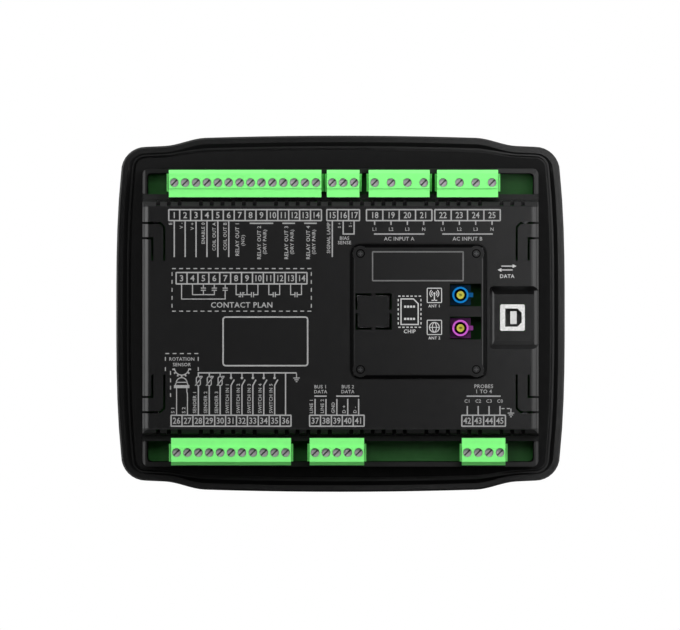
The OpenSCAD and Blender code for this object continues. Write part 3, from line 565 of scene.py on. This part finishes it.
def write(drawing, words, x, z, height, turn=0, align="CENTER", narrow=1.0, spacing=1.08):
    """Letters of ink, with their middle height at a place, turned anticlockwise by degrees."""
    curve = bpy.data.curves.new("words", "FONT")
    curve.body = words
    curve.size = height / LETTER_H
    curve.align_x = align
    curve.resolution_u = 2
    curve.extrude = (INK_OVER + INK_UNDER) / 2
    curve.offset = BOLDNESS * height
    curve.space_character = spacing
    letters = bpy.data.objects.new("words", curve)
    bpy.context.scene.collection.objects.link(letters)
    bpy.context.view_layer.update()
    solid = letters.evaluated_get(bpy.context.evaluated_depsgraph_get())
    mesh = bpy.data.meshes.new_from_object(solid)
    mesh.transform(
        Matrix.Translation((x, z, (INK_OVER - INK_UNDER) / 2))
        @ Matrix.Rotation(math.radians(turn), 4, "Z")
        @ Matrix.Diagonal((narrow, 1, 1, 1))
        @ Matrix.Translation((0, -height / 2, 0))
    )
    drawing.from_mesh(mesh)
    bpy.data.objects.remove(letters)
    bpy.data.curves.remove(curve)
    bpy.data.meshes.remove(mesh)


def lay(drawing, name, plane, material, body):
    """Makes a drawing into a piece that lies on a face and moves with a body."""
    bmesh.ops.remove_doubles(drawing, verts=drawing.verts, dist=WELD)
    bmesh.ops.recalc_face_normals(drawing, faces=drawing.faces)
    mesh = bpy.data.meshes.new(name)
    drawing.to_mesh(mesh)
    drawing.free()
    mesh.transform(plane)
    mesh.materials.append(material)
    piece = bpy.data.objects.new(name, mesh)
    bpy.context.scene.collection.objects.link(piece)
    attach(piece, body)


# Parts of the print

# The lid of the radio module lies a little lower than the raised panel of the rear cover
LID_SINK = 0.1 * MM
module_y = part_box("module_cover")[0].y
rear_y = module_y - LID_SINK


def number_cells(drawing, x, z, pitch, numbers, height):
    """A frame with one cell for each number, its first cell centred at x."""
    low, high = z - height / 2, z + height / 2
    box_line(drawing, x - pitch / 2, low, x + (len(numbers) - 0.5) * pitch, high, FRAME_LINE, CELL_CORNER)
    for i, number in enumerate(numbers):
        narrow = TWO_DIGITS_NARROW if number > 9 else 1.0
        write(drawing, str(number), x + i * pitch, z, DIGIT_H, narrow=narrow, spacing=1.0)
        if i:
            wall_x = x + (i - 0.5) * pitch
            plumb_line(drawing, wall_x, low + FRAME_LINE / 2, high - FRAME_LINE / 2, FRAME_LINE)


def lead_words(drawing, words, x, row, height=LABEL_H):
    """Words that stand upright beside a lead, from a row of cells on."""
    z, align = row
    write(drawing, words, x - LABEL_GAP, z, height, 90, align)


def group_bar(drawing, plug, first, last, z, over=BAR_OVER):
    """A bar along some poles of a plug; returns where their middle is."""
    left, right = pole_x(plug, first), pole_x(plug, last)
    level_line(drawing, left - over, right + over, z)
    return (left + right) / 2


def earth(drawing, x, z):
    """Earth sign: a stem and three bars that shorten downwards."""
    stem, first_bar, bar_step = 1.9, 2.1, 0.85
    plumb_line(drawing, x, z, z - stem, THIN_LINE)
    for i, half in enumerate((1.5, 0.95, 0.4)):
        level_line(drawing, x - half, x + half, z - first_bar - i * bar_step, THIN_LINE)


def contact_pair(drawing, x, z, upright, closed=False):
    """Contact sign: two short bars across a line, with a slash where it is closed at rest."""
    apart, half = 0.5, 1.2
    slash_x, slash_z = 1.3, 1.1
    for s in (-1, 1):
        if upright:
            level_line(drawing, x - half, x + half, z + s * apart, THIN_LINE)
        else:
            plumb_line(drawing, x + s * apart, z - half, z + half, THIN_LINE)
    if closed:
        ribbon(drawing, ((x - slash_x, z - slash_z), (x + slash_x, z + slash_z)), THIN_LINE)


def sender(drawing, x, top):
    """Lead with a sender in it: a narrow box and an arrow across."""
    z, half_w, half_h, corner = -29.6, 0.95, 2.1, 0.9
    tail, tip, tip_z, barb = 1.5, 2.0, z + 2.2, 1.3
    plumb_line(drawing, x, top, z + half_h)
    box_line(drawing, x - half_w, z - half_h, x + half_w, z + half_h, THIN_LINE, corner)
    ribbon(drawing, ((x - tail, z - half_h), (x + tip, tip_z)), THIN_LINE)
    level_line(drawing, x + tip - barb, x + tip, tip_z, THIN_LINE)
    plumb_line(drawing, x, z - half_h, CELL_LOW_EDGE)


def switch(drawing, x, top):
    """Lead with an open switch in it."""
    lead_end, contact_z, contact_r = -27.6, -28.1, 0.6
    arm_x, arm_z, hinge_z = 1.5, -28.9, -31.6
    plumb_line(drawing, x, top, lead_end)
    disc(drawing, x, contact_z, contact_r)
    ribbon(drawing, ((x + arm_x, arm_z), (x, hinge_z), (x, CELL_LOW_EDGE)), LEAD_LINE)


def print_numbers():
    """The rows of numbers at the terminals."""
    drawing = bmesh.new()
    for plug, (first, poles, pitch, z) in PLUGS.items():
        number_cells(drawing, pole_x(plug, 0), z, pitch, range(first, first + poles), CELL_H)
    lay(drawing, "print_numbers", rear_plane(rear_y), ink, "case")


def print_relays(drawing):
    """Words and bars of the four relay outputs."""
    words_left, note_right, words_drop = 1.1, 1.5, 1.2
    for i, (first, last) in enumerate(((6, 6), (7, 9), (10, 11), (12, 13))):
        if first == last:
            middle, top = pole_x("a", first), CELL_TOP_EDGE - WORD_GAP
            note, note_drop = "(NO)", 5.7
        else:
            middle = group_bar(drawing, "a", first, last, RELAY_BAR_Z, RELAY_BAR_OVER)
            top = RELAY_BAR_Z - words_drop
            note, note_drop = "(DRY PAIR)", 1.7
        write(drawing, "RELAY OUT " + str(i + 1), middle - words_left, top, TITLE_H, 90, "RIGHT")
        write(drawing, note, middle + note_right, top - note_drop, LABEL_H, 90, "RIGHT")


def print_top_leads():
    """Leads, group bars and labels under the upper row of numbers."""
    drawing = bmesh.new()
    words = ("E", "V -", "V +", "ENABLE 0", "COIL OUT A", "COIL OUT B")
    leads = {pole_x("a", i): word for i, word in enumerate(words)}
    leads[pole_x("b", 0)] = "SIGNAL LAMP"
    for x, word in leads.items():
        plumb_line(drawing, x, CELL_TOP_EDGE, LEAD_END)
        lead_words(drawing, word, x, TOP_WORDS)
    print_relays(drawing)
    for i, word in ((1, "S +"), (2, "S -")):
        x = pole_x("b", i)
        plumb_line(drawing, x, CELL_TOP_EDGE, INPUT_BAR_Z + LEAD_LINE / 2)
        lead_words(drawing, word, x, TOP_WORDS, SMALL_H)
    group_bar(drawing, "b", 1, 2, INPUT_BAR_Z)
    bias_right = 0.6
    for word, drop in (("BIAS", 1.9), ("SENSE", 4.0)):
        write(drawing, word, pole_x("b", 1) + bias_right, INPUT_BAR_Z - drop, LABEL_H)
    tick, letter_z, title_z = 1.7, 41.2, 36.75
    for plug, title in (("c", "AC INPUT A"), ("d", "AC INPUT B")):
        for i, letter in enumerate(("L1", "L2", "L3", "N")):
            x = pole_x(plug, i)
            plumb_line(drawing, x, CELL_TOP_EDGE, CELL_TOP_EDGE - tick)
            write(drawing, letter, x, letter_z, LABEL_H)
        write(drawing, title, group_bar(drawing, plug, 0, 3, INPUT_BAR_Z), title_z, TITLE_H)
    lay(drawing, "print_top_leads", rear_plane(rear_y), ink, "case")


def print_contacts():
    """Dashed frame with the wiring of the contacts inside the case."""
    drawing = bmesh.new()
    left, right, low, high = -78.5, -13.6, 3.0, 22.85
    for z in (high, low):
        dashes(drawing, (left, z), (right, z))
    for side_x in (left, right):
        dashes(drawing, (side_x, high - DASH_GAP), (side_x, low + DASH_GAP))
    numbers = range(3, 15)
    first_x, cell_z, cell_h = -74.05, 18.35, 5.3
    number_cells(drawing, first_x, cell_z, FINE_PITCH, numbers, cell_h)
    x = {number: first_x + i * FINE_PITCH for i, number in enumerate(numbers)}
    foot = cell_z - cell_h / 2 - FRAME_LINE / 2
    # Heights of the upper contacts and of the two lines under them; a lead ends this far from a contact
    upper, bus, outer = 13.25, 10.7, 8.65
    reach = 0.75
    ribbon(drawing, ((x[3], foot), (x[3], outer), (x[7], outer), (x[7], upper - reach)), THIN_LINE)
    ribbon(drawing, ((x[4], foot), (x[4], bus), (x[6], bus), (x[6], upper - reach)), THIN_LINE)
    plumb_line(drawing, x[5], bus + THIN_LINE / 2, upper - reach, THIN_LINE)
    for number in (5, 6, 7):
        plumb_line(drawing, x[number], foot, upper + reach, THIN_LINE)
        contact_pair(drawing, x[number], upper, True)
    # Number 9 has one lead, which the contacts on both sides share
    shared = 9
    plumb_line(drawing, x[shared], foot, bus - THIN_LINE / 2, THIN_LINE)
    for a, b, closed in ((8, 9, True), (9, 10, False), (11, 12, False), (13, 14, False)):
        middle = (x[a] + x[b]) / 2
        for number, side in ((a, -1), (b, 1)):
            end = middle + side * reach
            if number == shared:
                level_line(drawing, x[number] - side * THIN_LINE / 2, end, bus, THIN_LINE)
            else:
                ribbon(drawing, ((x[number], foot), (x[number], bus), (end, bus)), THIN_LINE)
        contact_pair(drawing, middle, bus, False, closed)
    caption_x, caption_z = -46.0, 5.9
    write(drawing, "CONTACT PLAN", caption_x, caption_z, CAPTION_H)
    lay(drawing, "print_contacts", rear_plane(rear_y), ink, "case")


def pickup_coil(drawing, x, z):
    """A bar with a dome over it, and its two leads to the cells."""
    half_w, half_h = 3.6, 0.7
    plate(drawing, x, z, half_w, half_h)
    foot_x, dome_up, dome_r = 3.0, 1.6, 2.6
    dome = arc(x, z + dome_up, dome_r, 180, 0, 8)
    ribbon(drawing, ((x - foot_x, z + half_h), *dome, (x + foot_x, z + half_h)), THIN_LINE)
    chord_up, chord_half = 2.0, 2.5
    level_line(drawing, x - chord_half, x + chord_half, z + chord_up, THIN_LINE)
    lead_off, jog = 2.4, 1.1
    for i, (side, jog_z) in enumerate(((-1, -37.5), (1, -34.5))):
        start_x, end_x = x + side * lead_off, pole_x("e", i)
        ribbon(drawing, ((start_x, z - half_h), (start_x, jog_z), (end_x, jog_z - jog),
                         (end_x, CELL_LOW_EDGE)), THIN_LINE)
        lead_words(drawing, "S " + str(i + 1), end_x, LOW_WORDS)


def print_speed_sensor():
    """Dashed frame with a toothed wheel over a pick-up coil."""
    drawing = bmesh.new()
    left, right, high = -81.6, -66.3, -16.75
    step_x, step_z, low = -79.2, -24.9, -37.0
    dashes(drawing, (left, high), (right, high))
    for side_x in (left, right):
        dashes(drawing, (side_x, high - DASH_GAP), (side_x, step_z))
    dashes(drawing, (step_x, step_z), (step_x, low))
    for word, z in (("ROTATION", -19.3), ("SENSOR", -21.9)):
        write(drawing, word, (left + right) / 2, z, LABEL_H)
    wheel_x, wheel_z, wheel_r = -74.0, -23.4, 3.4
    teeth, tooth_h, tooth_w = 7, 0.8, 0.7
    ribbon(drawing, arc(wheel_x, wheel_z, wheel_r, 185, 355), THIN_LINE)
    for i in range(teeth):
        angle = math.radians(190 + 160 * i / (teeth - 1))
        way = Vector((math.cos(angle), math.sin(angle)))
        start = Vector((wheel_x, wheel_z)) + way * (wheel_r + THIN_LINE / 2)
        ribbon(drawing, (start, start + way * tooth_h), tooth_w)
    coil_z = -32.15
    pickup_coil(drawing, wheel_x, coil_z)
    lay(drawing, "print_speed_sensor", rear_plane(rear_y), ink, "case")


def print_inputs(drawing):
    """Senders and switches between an earthed line and the lower left numbers."""
    bus_z, bus_end = -25.75, -20.5
    top = bus_z - LEAD_LINE / 2
    level_line(drawing, pole_x("e", 2) - LEAD_LINE / 2, bus_end, bus_z)
    earth(drawing, bus_end, top)
    for draw, words, poles in ((sender, "SENDER ", range(2, 5)), (switch, "SWITCH IN ", range(5, 10))):
        for i, pole in enumerate(poles):
            x = pole_x("e", pole)
            draw(drawing, x, top)
            lead_words(drawing, words + str(i + 1), x, LOW_WORDS)
    plumb_line(drawing, pole_x("e", 10), top, CELL_LOW_EDGE)


def print_low_leads():
    """Leads, switches and labels over the lower row of numbers."""
    drawing = bmesh.new()
    print_inputs(drawing)
    bus_lead_z = -37.9
    for first, last, title in ((0, 1, "BUS 1"), (2, 4, "BUS 2")):
        middle = group_bar(drawing, "f", first, last, LOW_BAR_Z)
        for word, z in ((title, -32.2), ("DATA", -34.5)):
            write(drawing, word, middle, z, LABEL_H)
    for i, word in enumerate(("LINE 1", "LINE 2", "GND", "D +", "D -")):
        x = pole_x("f", i)
        plumb_line(drawing, x, bus_lead_z, CELL_LOW_EDGE)
        lead_words(drawing, word, x, LOW_WORDS)
    probe_lead_z, probe_word_z = -41.2, -38.9
    middle = group_bar(drawing, "g", 0, 3, LOW_BAR_Z)
    for word, z in (("PROBES", -32.0), ("1 TO 4", -34.4)):
        write(drawing, word, middle, z, TITLE_H)
    for i, word in enumerate(("C1", "C2", "C3", "C0")):
        x = pole_x("g", i)
        plumb_line(drawing, x, probe_lead_z, CELL_LOW_EDGE)
        write(drawing, word, x, probe_word_z, LABEL_H)
    last_x, earth_z = pole_x("g", 3), -42.4
    line_start, line_end, earth_right = 0.7, 4.6, 5.1
    dashes(drawing, (last_x + line_start, earth_z), (last_x + line_end, earth_z), dash=1.4, gap=1.2)
    earth(drawing, last_x + earth_right, earth_z)
    lay(drawing, "print_low_leads", rear_plane(rear_y), ink, "case")


def print_data_sign():
    """Sign of the data socket: two arrows, one each way."""
    drawing = bmesh.new()
    x, z, word_z = 77.6, 23.1, 19.3
    half, rise, head = 2.6, 0.9, 1.8
    for s in (-1, 1):
        level_line(drawing, x - half, x + half, z + s * rise, THIN_LINE)
        tip = ((half, 0.0), (half + head, rise), (half, 2 * rise))
        prism(drawing, [(x + s * px, z + s * pz) for px, pz in tip])
    write(drawing, "DATA", x, word_z, TITLE_H)
    lay(drawing, "print_data_sign", rear_plane(rear_y), bright_ink, "case")


def print_plain_frames():
    """Empty label frames, one on the rear cover and one on the radio module."""
    drawing = bmesh.new()
    box_line(drawing, x0=-54.7, z0=-22.4, x1=-15.3, z1=0.25, width=0.7, r=1.2)
    lay(drawing, "print_cover_frame", rear_plane(rear_y), ink, "case")
    drawing = bmesh.new()
    box_line(drawing, x0=14.95, z0=17.2, x1=57.15, z1=30.65, width=FRAME_LINE, r=0.2)
    lay(drawing, "print_module_frame", rear_plane(module_y), dim_ink, "case")


def card_sign(drawing):
    """A chip card with two rows of contacts, in a dashed frame, and its word."""
    x0, x1, z0, z1, cut = 28.2, 36.2, -3.2, 8.7, 2.2
    card_line, contact_half, contact_step = 0.55, 0.5, 1.35
    middle, word_z = (x0 + x1) / 2, -6.4
    outline = ((x0, z0), (x1, z0), (x1, z1 - cut), (x1 - cut, z1), (x0, z1))
    ribbon(drawing, outline, card_line, closed=True)
    for z in (z0 + 2.6, z1 - 3.6):
        for i in range(4):
            plate(drawing, middle + (i - 1.5) * contact_step, z, contact_half, contact_half)
    border = 1.3
    frame_dashes = {"width": 0.5, "dash": 1.1, "gap": 0.9}
    for z in (z1 + border, z0 - border):
        dashes(drawing, (x0 - border, z), (x1 + border, z), **frame_dashes)
    for x in (x0 - border, x1 + border):
        dashes(drawing, (x, z1), (x, z0), **frame_dashes)
    write(drawing, "CHIP", middle, word_z, TITLE_H)


def mast_sign(drawing, x, z):
    """A radio mast with waves on both sides."""
    foot_z, top_z, ball_z, ball_r = z - 2.3, z + 0.4, z + 0.9, 0.5
    mast_line, wave_line, wave_half = 0.5, 0.4, 50
    foot_start, foot_end = mast_line / 2, 1.3
    plumb_line(drawing, x, foot_z, top_z, mast_line)
    for s in (-1, 1):
        level_line(drawing, x + s * foot_start, x + s * foot_end, foot_z, THIN_LINE)
    disc(drawing, x, ball_z, ball_r)
    for r in (1.25, 2.1):
        for turn in (0, 180):
            ribbon(drawing, arc(x, ball_z, r, turn - wave_half, turn + wave_half, 8), wave_line)


def globe_sign(drawing, x, z):
    """A globe with an equator, which leaves room for a meridian on each side."""
    globe_r, inner_r, meridian_share, meridian_half = 2.3, 2.1, 0.45, 80
    globe_line, thin = 0.42, 0.36
    ring(drawing, x, z, globe_r, globe_line)
    for turn in (0, 180):
        meridian = arc(x, z, inner_r, turn - meridian_half, turn + meridian_half, 10)
        ribbon(drawing, [(x + meridian_share * (px - x), pz) for px, pz in meridian], thin)
    for start, end in ((-inner_r, -1.15), (-0.75, 0.75), (1.15, inner_r)):
        level_line(drawing, x + start, x + end, z, thin)


def print_module():
    """Signs on the cover of the radio module."""
    drawing = bmesh.new()
    card_sign(drawing)
    x, half, line, corner, word_drop = 43.75, 3.35, 0.4, 0.4, 1.6
    for z, word, sign in ((10.35, "ANT 1", mast_sign), (-4.55, "ANT 2", globe_sign)):
        box_line(drawing, x - half, z - half, x + half, z + half, line, corner)
        write(drawing, word, x, z - half - word_drop, SMALL_H)
        sign(drawing, x, z)
    lay(drawing, "print_module", rear_plane(module_y), bright_ink, "case")


print_numbers()
print_top_leads()
print_contacts()
print_speed_sensor()
print_low_leads()
print_data_sign()
print_plain_frames()
print_module()


# Signs on the keys, and the frames round display and keys

KEY_LINE = 0.8
KEY_LETTER_H = 4.2
STOP_R = 2.6
START_HALF = 2.8
START_LINE = 0.9
# Half width of an arrow, which is how far its tip stands out too, and the distance to its foot
ARROW = 2.0
ARROW_FOOT = 1.2


def centre_of(name):
    low, high = mm_box(name)
    return (low + high) / 2


def arrow_sign(drawing, x, z, turn):
    """A filled arrow head that points up, turned anticlockwise by quarters."""
    points = ((-ARROW, -ARROW_FOOT), (ARROW, -ARROW_FOOT), (0, ARROW))
    for _ in range(turn):
        points = [(-pz, px) for px, pz in points]
    prism(drawing, [(x + px, z + pz) for px, pz in points])


def tick_sign(drawing, x, z):
    """A tick, for a choice that is taken."""
    ribbon(drawing, ((x - 1.9, z + 0.1), (x - 0.5, z - 1.4), (x + 2, z + 1.5)), KEY_LINE)


KEY_SIGNS = {
    "key_stop": lambda drawing, x, z: ring(drawing, x, z, STOP_R, KEY_LINE),
    "key_start": lambda drawing, x, z: plumb_line(drawing, x, z - START_HALF, z + START_HALF, START_LINE),
    "key_manual": lambda drawing, x, z: write(drawing, "M", x, z, KEY_LETTER_H),
    "key_auto": lambda drawing, x, z: write(drawing, "A", x, z, KEY_LETTER_H),
    "key_up": lambda drawing, x, z: arrow_sign(drawing, x, z, 0),
    "key_down": lambda drawing, x, z: arrow_sign(drawing, x, z, 2),
    "key_enter": tick_sign,
    "key_back": lambda drawing, x, z: arrow_sign(drawing, x, z, 1),
}


def print_keys():
    """A sign on the flat top of each key."""
    for key, draw in KEY_SIGNS.items():
        drawing = bmesh.new()
        middle = centre_of(key)
        draw(drawing, -middle.x, middle.z)
        lay(drawing, key + "_sign", front_plane(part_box(key)[1].y), key_ink, key)


def print_front():
    """A frame round the display window and a ring round each key."""
    drawing = bmesh.new()
    margin, frame_line = 3.0, 0.6
    key_margin, ring_line = 0.6, 0.5
    low, high = mm_box("display_window")
    box_line(drawing, -high.x - margin, low.z - margin, -low.x + margin, high.z + margin, frame_line, margin)
    for key in KEY_SIGNS:
        middle = centre_of(key)
        low, high = mm_box(key)
        ring(drawing, -middle.x, middle.z, (high.x - low.x) / 2 + key_margin, ring_line, 32)
    lay(drawing, "print_front", front_plane(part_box("faceplate")[1].y), ink, "case")


print_keys()
print_front()


# Studio: pale floor, white surroundings and soft lamps, in metres

FLOOR_R = 3.0
FLOOR_GAP = 0.2 * MM
# How much light the floor throws back up at the object
FLOOR_BOUNCE = 0.1
# Distances from the middle between which the floor fades into the white background
FLOOR_FADE = (0.25, 0.7)
# Light from straight below and straight above
SKY_LIGHT = (0.05, 0.85)
# Behind the camera the sky gives only a share of its light; between these directions it comes to the full
CAMERA_SKY = (-0.9, -0.4)
CAMERA_SKY_SHARE = 0.1
# The dark card: its place, its edge near the object, its top and half width, its height over the floor
CARD_Y = -0.8
CARD_NEAR = -0.03
CARD_HALF = 1.2
CARD_GAP = 1 * MM
CAMERA_Y = -1.0
CAMERA_REACH = 10.0


def pale_floor():
    """A plain floor that shows only from above, and fades to white far out."""
    bpy.ops.mesh.primitive_circle_add(vertices=96, radius=FLOOR_R, fill_type="NGON",
                                      location=(0, 0, cad_box[0].z - FLOOR_GAP))
    floor = bpy.context.object
    floor.name = "floor"
    material = surface("floor", (0.82, 0.82, 0.82), 0.7, tone=0.01, tone_scale=40.0)
    tree = material.node_tree
    rays = tree.nodes.new("ShaderNodeLightPath").outputs
    dull = add_node(tree, "ShaderNodeBsdfDiffuse", Color=(FLOOR_BOUNCE, FLOOR_BOUNCE, FLOOR_BOUNCE, 1.0))
    pale = tree.nodes["Principled BSDF"]
    near = mix_shaders(tree, rays["Is Diffuse Ray"], pale.outputs[0], dull.outputs[0])
    reach = tree.nodes.new("ShaderNodeVectorMath")
    reach.operation = "LENGTH"
    feed(tree, position(tree), reach.inputs[0])
    fade = map_range(tree, reach.outputs["Value"], FLOOR_FADE, (0.0, 1.0))
    seen = maths(tree, "MULTIPLY", fade, rays["Is Camera Ray"])
    white = add_node(tree, "ShaderNodeEmission", Color=WHITE, Strength=1.0)
    top = mix_shaders(tree, seen, near, white.outputs[0])
    below = tree.nodes.new("ShaderNodeNewGeometry").outputs["Backfacing"]
    clear = tree.nodes.new("ShaderNodeBsdfTransparent").outputs[0]
    set_inputs(tree, tree.nodes["Material Output"], Surface=mix_shaders(tree, below, top, clear))
    floor.data.materials.append(material)


def white_world():
    """White where the camera, reflections and glass see past the object; its light comes from the sky."""
    world = bpy.data.worlds.new("studio")
    bpy.context.scene.world = world
    world.use_nodes = True
    tree = world.node_tree
    tree.nodes.clear()
    rays = tree.nodes.new("ShaderNodeLightPath").outputs
    seen = maths(tree, "MAXIMUM", rays["Is Camera Ray"], rays["Is Glossy Ray"])
    seen = maths(tree, "MAXIMUM", seen, rays["Is Transmission Ray"])
    axes = axes_of(tree, tree.nodes.new("ShaderNodeTexCoord").outputs["Generated"])
    level = map_range(tree, axes["Z"], (-1.0, 1.0), SKY_LIGHT)
    side = map_range(tree, axes["Y"], CAMERA_SKY, (CAMERA_SKY_SHARE, 1.0))
    strength = maths(tree, "MULTIPLY", level, side)
    light = add_node(tree, "ShaderNodeBackground", Color=WHITE, Strength=strength)
    white = add_node(tree, "ShaderNodeBackground", Color=WHITE, Strength=1.0)
    sky = mix_shaders(tree, seen, light.outputs[0], white.outputs[0])
    add_node(tree, "ShaderNodeOutputWorld", Surface=sky)


def dark_card():
    """A black card round the camera and over the floor before it, which only reflections see."""
    low = cad_box[0].z + CARD_GAP
    edge = ((CARD_NEAR, low), (CARD_Y, low), (CARD_Y, CARD_HALF))
    drawing = bmesh.new()
    left, right = [[drawing.verts.new((x, y, z)) for y, z in edge] for x in (-CARD_HALF, CARD_HALF)]
    for i in range(len(edge) - 1):
        drawing.faces.new((left[i], right[i], right[i + 1], left[i + 1]))
    mesh = bpy.data.meshes.new("dark_card")
    drawing.to_mesh(mesh)
    drawing.free()
    mesh.materials.append(surface("card", (0.01, 0.01, 0.01), 0.9, Specular_IOR_Level=0.0))
    card = bpy.data.objects.new("dark_card", mesh)
    bpy.context.scene.collection.objects.link(card)
    card.visible_camera = False
    card.visible_diffuse = False
    card.visible_transmission = False
    card.visible_shadow = False


def soft_lamp(name, place, size, power, diffuse=True, gloss=True):
    """An area lamp that faces the middle of the object and may light or shine alone."""
    lamp = bpy.data.lights.new(name, "AREA")
    lamp.shape = "RECTANGLE"
    lamp.size, lamp.size_y = size
    lamp.energy = power
    holder = bpy.data.objects.new(name, lamp)
    holder.location = place
    holder.rotation_euler = (-Vector(place)).to_track_quat("-Z", "Y").to_euler()
    holder.visible_camera = False
    holder.visible_diffuse = diffuse
    holder.visible_glossy = gloss
    bpy.context.scene.collection.objects.link(holder)


def camera():
    """A camera straight behind the part, which shows what the photograph shows."""
    data = bpy.data.cameras.new("camera")
    data.type = "ORTHO"
    data.ortho_scale = PHOTO_W / PX_PER_MM * MM
    data.clip_end = CAMERA_REACH
    holder = bpy.data.objects.new("camera", data)
    holder.location = (VIEW_X * MM, CAMERA_Y, VIEW_Z * MM)
    holder.rotation_euler = (math.radians(90), 0, 0)
    bpy.context.scene.collection.objects.link(holder)
    bpy.context.scene.camera = holder


pale_floor()
white_world()
dark_card()
soft_lamp("key_lamp", (0.45, -0.55, 0.55), size=(0.4, 0.4), power=3.0)
soft_lamp("near_lamp", (-0.1, -0.8, 0.25), size=(0.3, 0.3), power=2.0, gloss=False)
soft_lamp("sheen_lamp", (0.22, -0.5, 0.14), size=(0.25, 0.25), power=0.72)
soft_lamp("low_sheen", (0.24, -0.5, -0.04), size=(0.25, 0.07), power=0.2, diffuse=False)
soft_lamp("left_fill", (-0.5, -0.65, 0.1), size=(0.4, 0.4), power=0.8, gloss=False)
soft_lamp("left_strip", (-0.62, -0.44, 0.05), size=(0.75, 0.6), power=7.5, diffuse=False)
soft_lamp("right_strip", (0.62, -0.44, 0.05), size=(0.75, 0.6), power=5.0, diffuse=False)
soft_lamp("front_fill", (-0.4, 0.9, 0.5), size=(0.6, 0.6), power=6.0)
camera()
bpy.context.scene.view_settings.view_transform = "Standard"
